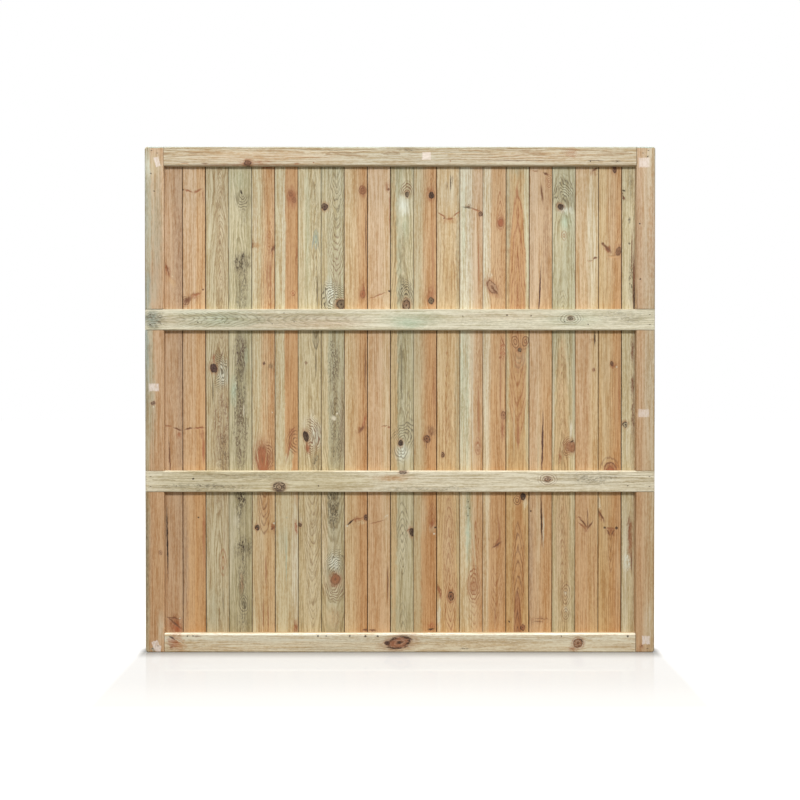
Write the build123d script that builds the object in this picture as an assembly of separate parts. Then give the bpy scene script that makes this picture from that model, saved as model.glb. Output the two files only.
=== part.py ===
from build123d import *
import os

# Framed tongue and groove fence panel, seen from its railed side.
# X runs to the right along the panel, Y from the railed side to the boarded side, Z up.
# The origin is at the middle of the bottom edge. All sizes are in millimetres.

# Panel
panel_width = 1830.0
panel_height = 1815.0

# Frame timber: two stiles, a top rail and a bottom rail of one rebated section
frame_face = 68.0
frame_depth = 44.0
rebate_width = 36.0
rebate_depth = 16.0
frame_arris = 5.0
lip_arris = 2.0
corner_ease = 5.0
shoulder_gap = 0.5

# Middle rails, halved over the stiles
mid_rail_height = 76.0
mid_rail_arris = 4.0
halving_depth = 14.0
trench_gap = 0.4
upper_rail_drop = 4.0

# Tongue and groove boards
board_face = 82.3
board_thickness = 12.0
tongue_length = 7.0
tongue_thickness = 4.0
tongue_tip = 0.8
groove_depth = 7.5
groove_gap = 0.2
back_arris = 0.8
vee_chamfer = 2.5
joint_gap = 1.0
side_clearance = 1.5
end_clearance = 1.5
narrowest_rip = 15.0

# Machine-driven nails with a T head, through the halved joints of the frame
nail_width = 2.4
nail_thickness = 2.0
nail_head_width = 6.0
nail_head_thickness = 1.2
nail_length = 40.0
nail_point = 4.0
corner_nail_outer = (25.0, 14.0)
corner_nail_inner = (45.0, 23.0)
rail_nail_inset = 19.0
rail_nail_spread = 18.0

# Flat pins through the boards into the rails, one for each board at each rail
pin_width = 1.8
pin_thickness = 1.4
pin_length = 35.0
pin_point = 3.0
pin_rise = 14.0

# Planes and levels that the pieces share
half_width = panel_width / 2
railed_side = -frame_depth / 2
boarded_side = frame_depth / 2
ledge = boarded_side - rebate_depth
rear_depth = ledge - railed_side
lip_width = frame_face - rebate_width
stock_width = board_face + tongue_length
stile_inside = half_width - frame_face
lip_inside = half_width - lip_width
bay = (panel_height - 2 * frame_face - 2 * mid_rail_height) / 3
lower_rail_level = frame_face + bay + mid_rail_height / 2
upper_rail_level = lower_rail_level + mid_rail_height + bay - upper_rail_drop


def block(x_range, y_range, z_range):
    """A box given by its two ends on each axis."""
    x_span, y_span, z_span = (high - low for low, high in (x_range, y_range, z_range))
    corner = (Align.MIN, Align.MIN, Align.MIN)
    return Pos(x_range[0], y_range[0], z_range[0]) * Box(x_span, y_span, z_span, align=corner)


def panel_envelope():
    """The whole panel's outer form, with its corners eased and its outer arrises rounded."""
    body = block((-half_width, half_width), (railed_side, boarded_side), (0, panel_height))
    body = fillet(body.edges().filter_by(Axis.Y), frame_arris + corner_ease)
    faces = body.faces().sort_by(Axis.Y)
    return fillet(faces[0].edges() + faces[-1].edges(), frame_arris)


def rebated_section():
    """The frame timber's section: across its face from the outer edge, and through its depth."""
    outline = Polyline(
        (0, railed_side),
        (frame_face, railed_side),
        (frame_face, ledge),
        (lip_width, ledge),
        (lip_width, boarded_side),
        (0, boarded_side),
        close=True,
    )
    section = make_face(outline)
    inner_arris = section.vertices().sort_by(Axis.X)[-2:].sort_by(Axis.Y)[0]
    section = fillet(inner_arris, frame_arris)
    lip_edge = section.vertices().sort_by(Axis.Y)[-2:].sort_by(Axis.X)[-1]
    return fillet(lip_edge, lip_arris)


def frame_nail(x, z):
    """One T-headed nail, driven from the railed side with its head flush."""
    half_head = nail_head_width / 2
    half_shank = nail_width / 2
    point_start = nail_length - nail_point
    outline = Polyline(
        (-half_head, 0),
        (half_head, 0),
        (half_head, nail_head_thickness),
        (half_shank, nail_head_thickness),
        (half_shank, point_start),
        (0, nail_length),
        (-half_shank, point_start),
        (-half_shank, nail_head_thickness),
        (-half_head, nail_head_thickness),
        close=True,
    )
    nail = extrude(make_face(outline), nail_thickness / 2, both=True)
    return Pos(x, railed_side, z) * nail


def board_pin(x, z):
    """One flat pin with a chisel point, driven from the boards' fair face."""
    half = pin_width / 2
    outline = Polyline(
        (-half, 0),
        (half, 0),
        (half, pin_point - pin_length),
        (0, -pin_length),
        (-half, pin_point - pin_length),
        close=True,
    )
    pin = extrude(make_face(outline), pin_thickness / 2, both=True)
    return Pos(x, ledge + board_thickness, z) * pin


def corner_nails():
    """Two nails through each of the four corner joints."""
    nails = []
    for side in (-1, 1):
        for from_side, from_end in (corner_nail_outer, corner_nail_inner):
            x = side * (half_width - from_side)
            nails.append(frame_nail(x, from_end))
            nails.append(frame_nail(x, panel_height - from_end))
    return nails


def rail_nails():
    """Two nails through each end of both middle rails, one above the other."""
    nails = []
    for side in (-1, 1):
        x = side * (half_width - rail_nail_inset)
        for level in (lower_rail_level, upper_rail_level):
            nails.append(frame_nail(x, level - rail_nail_spread))
            nails.append(frame_nail(x, level + rail_nail_spread))
    return nails


def left_stile():
    """The left upright: full height at the railed side, and let in between the rails' lips."""
    stile = Pos(-half_width, 0, 0) * extrude(rebated_section(), panel_height)
    for low, high in ((0, lip_width), (panel_height - lip_width, panel_height)):
        stile -= block((-half_width, -lip_inside), (ledge, boarded_side), (low, high))
    reach = mid_rail_height / 2 + trench_gap
    for level in (lower_rail_level, upper_rail_level):
        trench_depth = (railed_side, railed_side + halving_depth)
        stile -= block((-half_width, -stile_inside), trench_depth, (level - reach, level + reach))
    return stile & panel_envelope()


def bottom_rail():
    """The bottom member: its lip runs the full width, and its thick part stops at the stiles."""
    upright = extrude(rebated_section(), panel_width)
    laid = Rot(0, -90, 0) * upright
    rail = Pos(half_width, 0, 0) * laid
    shoulder = stile_inside - shoulder_gap
    for low, high in ((-half_width, -shoulder), (shoulder, half_width)):
        rail -= block((low, high), (railed_side, ledge), (0, frame_face))
    return rail & panel_envelope()


def middle_rail(level):
    """One middle rail: thick enough to reach the boards, and halved at both ends over the stiles."""
    section = Rectangle(rear_depth, mid_rail_height)
    section = fillet(section.vertices(), mid_rail_arris)
    across = Plane.YZ * section
    middle_depth = (railed_side + ledge) / 2
    rail = Pos(0, middle_depth, level) * extrude(across, half_width, both=True)
    shoulder = stile_inside - shoulder_gap
    height = (level - mid_rail_height / 2, level + mid_rail_height / 2)
    for low, high in ((-half_width, -shoulder), (shoulder, half_width)):
        rail -= block((low, high), (railed_side + halving_depth, ledge), height)
    return rail & panel_envelope()


def board_section(kept_width):
    """A board's section, from the left edge of its face: tongue on the left, groove on the right.

    The width kept is measured from the grooved edge. Less than the stock's, the saw took the tongue.
    """
    tongue_low = (board_thickness - tongue_thickness) / 2
    tongue_high = tongue_low + tongue_thickness
    groove_low = tongue_low - groove_gap
    groove_high = tongue_high + groove_gap
    outline = Polyline(
        (back_arris, 0),
        (board_face - back_arris, 0),
        (board_face, back_arris),
        (board_face, groove_low),
        (board_face - groove_depth, groove_low),
        (board_face - groove_depth, groove_high),
        (board_face, groove_high),
        (board_face, board_thickness - vee_chamfer),
        (board_face - vee_chamfer, board_thickness),
        (vee_chamfer, board_thickness),
        (0, board_thickness - vee_chamfer),
        (0, tongue_high),
        (tongue_tip - tongue_length, tongue_high),
        (-tongue_length, tongue_high - tongue_tip),
        (-tongue_length, tongue_low + tongue_tip),
        (tongue_tip - tongue_length, tongue_low),
        (0, tongue_low),
        (0, back_arris),
        close=True,
    )
    section = make_face(outline)
    if kept_width < stock_width:
        kept = Rectangle(kept_width, board_thickness, align=(Align.MAX, Align.MIN))
        section &= Pos(board_face, 0) * kept
    return section


def board_layout():
    """Each board as (left edge of its stock face, width kept), laid from the right-hand stile."""
    pitch = board_face + joint_gap
    right_edge = lip_inside - side_clearance
    room = right_edge + lip_inside - side_clearance
    whole_boards = int((room - tongue_length + joint_gap) // pitch)
    layout = []
    for place in range(whole_boards):
        layout.append((right_edge - board_face - place * pitch, stock_width))
    left_over = room - whole_boards * pitch
    if left_over >= narrowest_rip:
        layout.append((right_edge - board_face - whole_boards * pitch, min(left_over, stock_width)))
    return list(reversed(layout))


def board(left_edge, kept_width):
    """One board, bearing on the frame's rebate and on the middle rails."""
    length = panel_height - 2 * lip_width - 2 * end_clearance
    section = board_section(kept_width)
    return Pos(left_edge, ledge, lip_width + end_clearance) * extrude(section, length)


def pins_for(place, left_edge, kept_width):
    """A board's pins: in the middle of each rebate, and above and below the middle rails' lines by turns."""
    x = left_edge + board_face - min(kept_width, board_face) / 2
    rebate_middle = lip_width + rebate_width / 2
    rise = pin_rise if place % 2 else -pin_rise
    levels = (rebate_middle, lower_rail_level + rise, upper_rail_level + rise,
              panel_height - rebate_middle)
    return [board_pin(x, level) for level in levels]


def reached_by(body, fasteners):
    """Those of the fasteners whose box meets the body's box."""
    low, high = body.bounding_box().min, body.bounding_box().max
    found = []
    for fastener in fasteners:
        near, far = fastener.bounding_box().min, fastener.bounding_box().max
        if all((near.X < high.X, far.X > low.X, near.Y < high.Y, far.Y > low.Y,
                near.Z < high.Z, far.Z > low.Z)):
            found.append(fastener)
    return found


def pierced(body, fasteners):
    """The body with a hole of each fastener's own form where the fastener passes."""
    found = reached_by(body, fasteners)
    return body - found if found else body


def build_panel():
    """Every piece of the panel by name."""
    corner = corner_nails()
    halving = rail_nails()
    nails = corner + halving
    laid = board_layout()
    pins = [pin for place, stock in enumerate(laid) for pin in pins_for(place, *stock)]
    stile = left_stile()
    rail = bottom_rail()
    level_mirror = Plane.XY.offset(panel_height / 2)
    pieces = {
        "stile_left": pierced(stile, nails + pins),
        "stile_right": pierced(mirror(stile, about=Plane.YZ), nails + pins),
        "rail_bottom": pierced(rail, nails + pins),
        "rail_top": pierced(mirror(rail, about=level_mirror), nails + pins),
        "rail_lower_middle": pierced(middle_rail(lower_rail_level), nails + pins),
        "rail_upper_middle": pierced(middle_rail(upper_rail_level), nails + pins),
    }
    for number, stock in enumerate(laid, start=1):
        pieces[f"board_{number:02d}"] = pierced(board(*stock), pins)
    pieces["corner_nails"] = Compound(children=corner)
    pieces["rail_nails"] = Compound(children=halving)
    pieces["board_pins"] = Compound(children=pins)
    return pieces


os.makedirs("parts", exist_ok=True)
for name, piece in build_panel().items():
    export_step(piece, f"parts/{name}.step")
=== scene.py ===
"""Finishes for a tongue and groove fence panel: figured softwood, nails, pins and a stage."""
import math
from dataclasses import dataclass, field

import bmesh
import bpy
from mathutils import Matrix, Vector


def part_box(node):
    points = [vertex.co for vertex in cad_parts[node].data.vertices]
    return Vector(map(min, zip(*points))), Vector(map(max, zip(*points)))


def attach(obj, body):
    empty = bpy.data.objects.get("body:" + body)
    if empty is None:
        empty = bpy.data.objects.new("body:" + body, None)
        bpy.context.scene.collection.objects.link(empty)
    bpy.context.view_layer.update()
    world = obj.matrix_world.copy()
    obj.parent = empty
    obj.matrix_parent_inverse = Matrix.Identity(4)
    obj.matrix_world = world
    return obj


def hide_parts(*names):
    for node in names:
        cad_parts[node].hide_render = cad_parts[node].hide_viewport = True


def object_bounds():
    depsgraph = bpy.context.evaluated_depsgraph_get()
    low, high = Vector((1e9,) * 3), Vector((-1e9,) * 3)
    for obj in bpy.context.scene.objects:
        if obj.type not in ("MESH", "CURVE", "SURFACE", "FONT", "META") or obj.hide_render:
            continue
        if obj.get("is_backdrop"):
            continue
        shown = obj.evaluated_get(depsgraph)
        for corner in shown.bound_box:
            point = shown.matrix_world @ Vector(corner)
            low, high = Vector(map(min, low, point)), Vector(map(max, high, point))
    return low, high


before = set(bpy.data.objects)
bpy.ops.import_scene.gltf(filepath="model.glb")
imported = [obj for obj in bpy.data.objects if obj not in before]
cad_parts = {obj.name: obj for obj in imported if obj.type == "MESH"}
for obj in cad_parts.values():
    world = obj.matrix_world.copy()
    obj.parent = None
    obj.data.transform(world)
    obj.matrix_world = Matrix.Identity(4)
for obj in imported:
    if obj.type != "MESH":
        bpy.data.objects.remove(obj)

bl_info = {
    "name": "Tongue and Groove Fence Panel",
    "version": (1, 0, 0),
    "blender": (4, 5, 0),
    "location": "View3D > Sidebar > Fence",
    "description": "Finishes the timber, nails and pins of a boarded fence panel",
    "category": "Object",
}

BODY = "root"
MM = 0.001
WHITE = (1.0, 1.0, 1.0, 1.0)


# Node trees

class Value:
    """A socket that takes part in arithmetic: each operation adds its own node."""

    def __init__(self, graph, socket):
        self.graph = graph
        self.socket = socket

    def math(self, operation, *others):
        inputs = dict(enumerate((self, *others)))
        return self.graph.add("ShaderNodeMath", {"operation": operation}, inputs)

    def __add__(self, other):
        return self.math("ADD", other)

    def __radd__(self, other):
        return self.math("ADD", other)

    def __sub__(self, other):
        return self.math("SUBTRACT", other)

    def __rsub__(self, other):
        return self.graph.add("ShaderNodeMath", {"operation": "SUBTRACT"}, {0: other, 1: self})

    def __mul__(self, other):
        return self.math("MULTIPLY", other)

    def __rmul__(self, other):
        return self.math("MULTIPLY", other)

    def __truediv__(self, other):
        return self.math("DIVIDE", other)

    def __abs__(self):
        return self.math("ABSOLUTE")

    def root(self):
        return self.math("SQRT")

    def sine(self):
        return self.math("SINE")

    def fraction(self):
        return self.math("FRACT")

    def most(self, other):
        return self.math("MAXIMUM", other)

    def between(self, start, stop):
        """0 at start, rising smoothly to 1 at stop. The start may be above the stop."""
        settings = {"interpolation_type": "SMOOTHSTEP"}
        return self.graph.add("ShaderNodeMapRange", settings, {0: self, 1: start, 2: stop})


class Graph:
    """The node tree of a new material or world, written as expressions."""

    def __init__(self, owner):
        owner.use_nodes = True
        self.owner = owner
        self.tree = owner.node_tree
        self.tree.nodes.clear()

    def add(self, kind, settings=None, inputs=None, output=0):
        """Any node: its settings are made first, then the values or links of its sockets."""
        node = self.tree.nodes.new(kind)
        for name, value in (settings or {}).items():
            setattr(node, name, value)
        for key, value in (inputs or {}).items():
            for item in value if isinstance(value, list) else [value]:
                if isinstance(item, Value):
                    self.tree.links.new(item.socket, node.inputs[key])
                else:
                    node.inputs[key].default_value = item
        return Value(self, node.outputs[output]) if node.outputs else node

    def vector(self, x, y, z):
        return self.add("ShaderNodeCombineXYZ", None, {0: x, 1: y, 2: z})

    def parts(self, vector):
        """A vector's three numbers."""
        first = self.add("ShaderNodeSeparateXYZ", None, {0: vector})
        return [Value(self, socket) for socket in first.socket.node.outputs]

    def place(self):
        """The place on the object, in metres, as three numbers."""
        return self.parts(self.add("ShaderNodeTexCoord", output="Object"))

    def noise(self, place, detail, roughness, output=0):
        sockets = {"Vector": place, "Scale": 1.0, "Detail": detail, "Roughness": roughness}
        return self.add("ShaderNodeTexNoise", {"noise_dimensions": "3D"}, sockets, output)

    def mix(self, share, under, over, blend="MIX"):
        settings = {"data_type": "RGBA", "blend_type": blend, "clamp_factor": True}
        return self.add("ShaderNodeMix", settings, {0: share, 6: under, 7: over}, 2)

    def shaded(self, colour, shade):
        """A colour multiplied by another."""
        return self.mix(1.0, colour, shade, "MULTIPLY")

    def spot(self, place, centre, half, lean=0.0):
        """The place from a spot's centre, and its distance, in the spot's half sizes."""
        sockets = {
            "Vector": place,
            "Location": (*centre, 0.0),
            "Rotation": (0.0, 0.0, math.radians(lean)),
            "Scale": (*half, 1.0),
        }
        local = self.add("ShaderNodeMapping", {"vector_type": "TEXTURE"}, sockets)
        return local, self.add("ShaderNodeVectorMath", {"operation": "LENGTH"}, {0: local}, "Value")

    def seen(self):
        """1 where the camera looks, also by way of gloss, and 0 for light that bounces."""
        kinds = "Is Camera Ray", "Is Glossy Ray", "Is Transmission Ray"
        camera, glossy, through = (self.add("ShaderNodeLightPath", output=kind) for kind in kinds)
        return camera.most(glossy).most(through)

    def surface(self, colour, roughness, height, depth, specular, metallic=0.0):
        """Ends the tree in a shader, with the height as bump that is depth metres deep."""
        bump = {"Strength": 1.0, "Distance": depth, "Height": height}
        sockets = {
            "Base Color": colour,
            "Roughness": roughness,
            "Metallic": metallic,
            "Specular IOR Level": specular,
            "Normal": self.add("ShaderNodeBump", None, bump),
        }
        shader = self.add("ShaderNodeBsdfPrincipled", None, sockets)
        self.add("ShaderNodeOutputMaterial", None, {"Surface": shader})
        return self.owner


def linear(colour):
    """A display colour as the linear values that a shader works in."""
    levels = [c / 12.92 if c <= 0.04045 else ((c + 0.055) / 1.055) ** 2.4 for c in colour]
    return (*levels, 1.0)


# Sizes and colours that a user would change

def tone(name, description, red, green, blue):
    """A named display colour, given from 0 to 255."""
    default = (red / 255, green / 255, blue / 255)
    return bpy.props.FloatVectorProperty(
        name=name, description=description, default=default, size=3, min=0.0, max=1.0,
        subtype="COLOR_GAMMA")


def contrast(name, description, default):
    """A named strength: 0 leaves the effect out."""
    return bpy.props.FloatProperty(
        name=name, description=description, default=default, min=0.0, max=2.0, subtype="FACTOR")


def length(name, description, default, most, least=0.0):
    """A named length in metres."""
    return bpy.props.FloatProperty(
        name=name, description=description, default=default, min=least, max=most, unit="LENGTH")


def power(name, description, default):
    """A lamp's named power in watts."""
    return bpy.props.FloatProperty(
        name=name, description=description, default=default, min=0.0, max=2000.0, unit="POWER")


class FenceTones(bpy.types.PropertyGroup):
    """The colours of treated softwood and of what marks it."""

    cream: tone("Cream", "Clean sapwood", 205, 184, 147)
    pale: tone("Pale", "Sapwood with a breath of green from its treatment", 200, 188, 154)
    green: tone("Green", "Sapwood that took up most treatment", 184, 178, 148)
    olive: tone("Olive", "Dull greenish tan", 190, 176, 143)
    grey: tone("Grey", "Weathered sapwood", 178, 168, 142)
    straw: tone("Straw", "Yellowish tan", 198, 172, 130)
    pink: tone("Pink", "Heartwood with a pinkish cast", 201, 174, 141)
    honey: tone("Honey", "Warm heartwood", 199, 166, 126)
    orange: tone("Orange", "Strongly coloured heartwood", 191, 152, 109)
    amber: tone("Amber", "The deepest heartwood", 188, 147, 102)
    rose: tone("Rose", "Dull pinkish brown", 191, 162, 130)
    chalk: tone("Chalk", "The palest sapwood", 213, 206, 181)
    fawn: tone("Fawn", "The frame's planed sapwood", 192, 179, 152)
    rust: tone("Rust", "Resin and bark smears", 156, 104, 70)
    red: tone("Red", "Red knots", 164, 98, 64)
    brown: tone("Brown", "Brown knots", 118, 80, 56)
    plum: tone("Plum", "Dark, nearly purple knots", 76, 46, 42)
    stain: tone("Stain", "Grey mould stain", 108, 98, 76)
    dark: tone("Dark", "Cracks and bark", 56, 40, 30)
    # Painted shade in the joints between the boards, mixed with grime.
    soil: tone("Soil", "Dirt in the joints between the boards", 62, 35, 11)
    teal: tone("Teal", "Copper treatment that dried on the surface", 184, 193, 166)
    # Along the frame's top edges, slate is painted shade.
    slate: tone("Slate", "Bluish weathering on the outer edges", 150, 158, 146)
    paper: tone("Paper", "What is left of torn paper labels", 224, 210, 198)
    # Painted highlight along the bottom rail's top arris, standing in for light from above.
    bare: tone("Bare", "A freshly planed edge that catches the light", 244, 236, 214)
    milk: tone("Milk", "Pale grain that flares round a knot", 214, 204, 178)
    frost: tone("Frost", "The same in timber that took up much treatment", 216, 216, 198)


class FenceGrain(bpy.types.PropertyGroup):
    """How strongly the timber's surface is figured."""

    fibre_contrast: contrast("Fibre contrast", "How far fine fibres vary the timber's depth", 0.96)
    band_contrast: contrast("Band contrast", "How far broad soft bands vary it", 0.40)
    fleck_contrast: contrast("Fleck contrast", "How far short flecks vary it", 0.62)
    streak_contrast: contrast("Streak contrast", "How far long streaks vary it", 0.50)
    foot_warmth: contrast("Foot warmth", "How far it grows darker and warmer to the ground", 1.0)
    relief: length("Relief", "Depth of the raised grain", 0.0005, 0.003)


class FenceFixings(bpy.types.PropertyGroup):
    """The nails' and pins' own sizes, and how they are driven."""

    nail_sink: length("Nail sink", "How far a nail's head lies below the timber", 0.0006, 0.003)
    nail_head: length("Nail head", "Thickness of a nail's head", 0.0012, 0.005)
    nail_shank: length("Nail shank", "Width of a nail's shank", 0.0024, 0.005)
    nail_point: length("Nail point", "Length of a nail's chisel point", 0.004, 0.02)
    pin_sink: length("Pin sink", "How far a pin's end lies below the timber", 0.0004, 0.003)
    pin_head: length("Pin head", "Thickness of a pin's crown", 0.001, 0.005)
    pin_point: length("Pin point", "Length of a pin's chisel point", 0.003, 0.02)


class FenceStage(bpy.types.PropertyGroup):
    """The camera and the light."""

    distance: length("Distance", "From the camera to the panel's railed face", 5.0, 20.0, 1.0)
    pitch: bpy.props.FloatProperty(
        name="Pitch", description="How far the camera looks down", default=math.radians(0.7),
        min=0.0, max=math.radians(45.0), unit="ROTATION")
    lens: bpy.props.FloatProperty(
        name="Lens", description="Focal length on a 36 mm sensor", default=62.7,
        min=10.0, max=300.0, unit="CAMERA")
    key: power("Key lamp", "Power of the soft lamp above and behind the camera", 290.0)
    rear: power("Rear lamp", "Power of the soft lamp behind the panel", 170.0)
    overhead: power("Overhead lamp", "Power of the soft lamp above the panel", 130.0)
    ambient: bpy.props.FloatProperty(
        name="Ambient", description="Strength of the even light all round", default=0.42,
        min=0.0, max=3.0)


# The figure of each piece of timber. Across and along are millimetres from the piece's own
# centreline: along is the height on uprights, and the distance from the panel's middle on rails.

@dataclass
class Mark:
    """A knot, patch, smear or crack in a piece of timber.

    On a knot, fill says how far its body takes the tone, and lines how dark the ink of its rings
    is. On grain, lines counts the rings or peaks, and fill is the peaks' share of the tone.
    """

    kind: str
    across: float
    along: float
    half_across: float
    half_along: float
    tone: str
    strength: float
    lean: float = 0.0
    fill: float = 0.0
    lines: float = 0.0
    ink: str = "rust"


def knot(across, along, half_across, half_along=None, tone="brown", strength=0.9, lean=0.0,
         fill=0.55, lines=1.0, ink="dark"):
    """A knot with rings of its own, a rim drawn in ink, and grain that flows round it."""
    half_along = half_along or half_across
    return Mark("knot", across, along, half_across, half_along, tone, strength, lean, fill, lines,
                ink)


def arcs(across, along, half_across, half_along, tone="stain", strength=0.6, lean=0.0, lines=5.0,
         one_sided=False):
    """Nested rings of grain round a place: whole, or on the side that they lean to."""
    fill = float(one_sided)
    return Mark("arcs", across, along, half_across, half_along, tone, strength, lean, fill, lines)


def flame(across, along, half_across, half_along, tone, strength=0.8, point=1, lines=3.0,
          ink="rust", fill=0.4):
    """Nested peaks of grain, drawn in ink: their tips point up, or down where the point is -1."""
    lean = 0.0 if point > 0 else 180.0
    return Mark("flame", across, along, half_across, half_along, tone, strength, lean, fill, lines,
                ink)


def patch(across, along, half_across, half_along, tone, strength=0.7, lean=0.0):
    """A soft patch of another tone."""
    return Mark("patch", across, along, half_across, half_along, tone, strength, lean)


def cover(across, along, half_across, half_along, tone, strength=0.9, lean=0.0):
    """An even area of another tone, with a soft edge."""
    return Mark("cover", across, along, half_across, half_along, tone, strength, lean)


def edge(across, half_across, tone, strength=0.9, along=0.0, half_along=5000.0):
    """A straight band on the railed face, such as a planed arris, painted shade or a painted
    highlight along an arris, or a piece's end.
    """
    return Mark("edge", across, along, half_across, half_along, tone, strength)


def mottle(across, along, half_across, half_along, tone="stain", strength=0.8, lean=0.0):
    """A patch that is broken up into specks and short streaks."""
    return Mark("mottle", across, along, half_across, half_along, tone, strength, lean)


def crack(across, along, half_along, half_width=1.8, tone="dark", strength=0.9, lean=0.0):
    """A narrow line that tapers to nothing at both ends."""
    return Mark("crack", across, along, half_width, half_along, tone, strength, lean)


def smear(across, along, half_length, half_width=3.0, tone="rust", strength=0.85, lean=0.0):
    """A crooked line across the grain, where a branch's whorl was cut."""
    return Mark("crack", across, along, half_width, half_length, tone, strength, lean + 90.0)


def speck(across, along, radius=2.5, tone="dark", strength=0.9):
    """A small dark dot, such as a dead pin knot or the stain round a nail."""
    return Mark("speck", across, along, radius, radius, tone, strength)


def label(across, along, half_across, half_along, strength=0.75, lean=0.0):
    """What is left of a torn paper label, on the railed face."""
    return Mark("label", across, along, half_across, half_along, "paper", strength, lean)


@dataclass
class Figure:
    """How one piece of timber was cut from its tree, and what marks it.

    The sapwood's tone turns to the heartwood's within edge millimetres of heart_radius. The pith
    lies across from the piece's centreline and behind the boards' railed face, moves back by taper
    for each metre along, and strays by wander. The rings stand ring apart, and rings says how dark
    they are. Cool timber darkens to grey rather than to brown. Bands and foot say how strong its
    broad bands and its warmth near the ground are.
    """

    sap: str
    heart: str
    heart_radius: float = 60.0
    pith: tuple = (0.0, 60.0)
    taper: float = 10.0
    wander: float = 6.0
    ring: float = 5.0
    rings: float = 0.35
    edge: float = 4.0
    cool: float = 0.0
    bands: float = 1.0
    foot: float = 0.75
    marks: list = field(default_factory=list)


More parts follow.
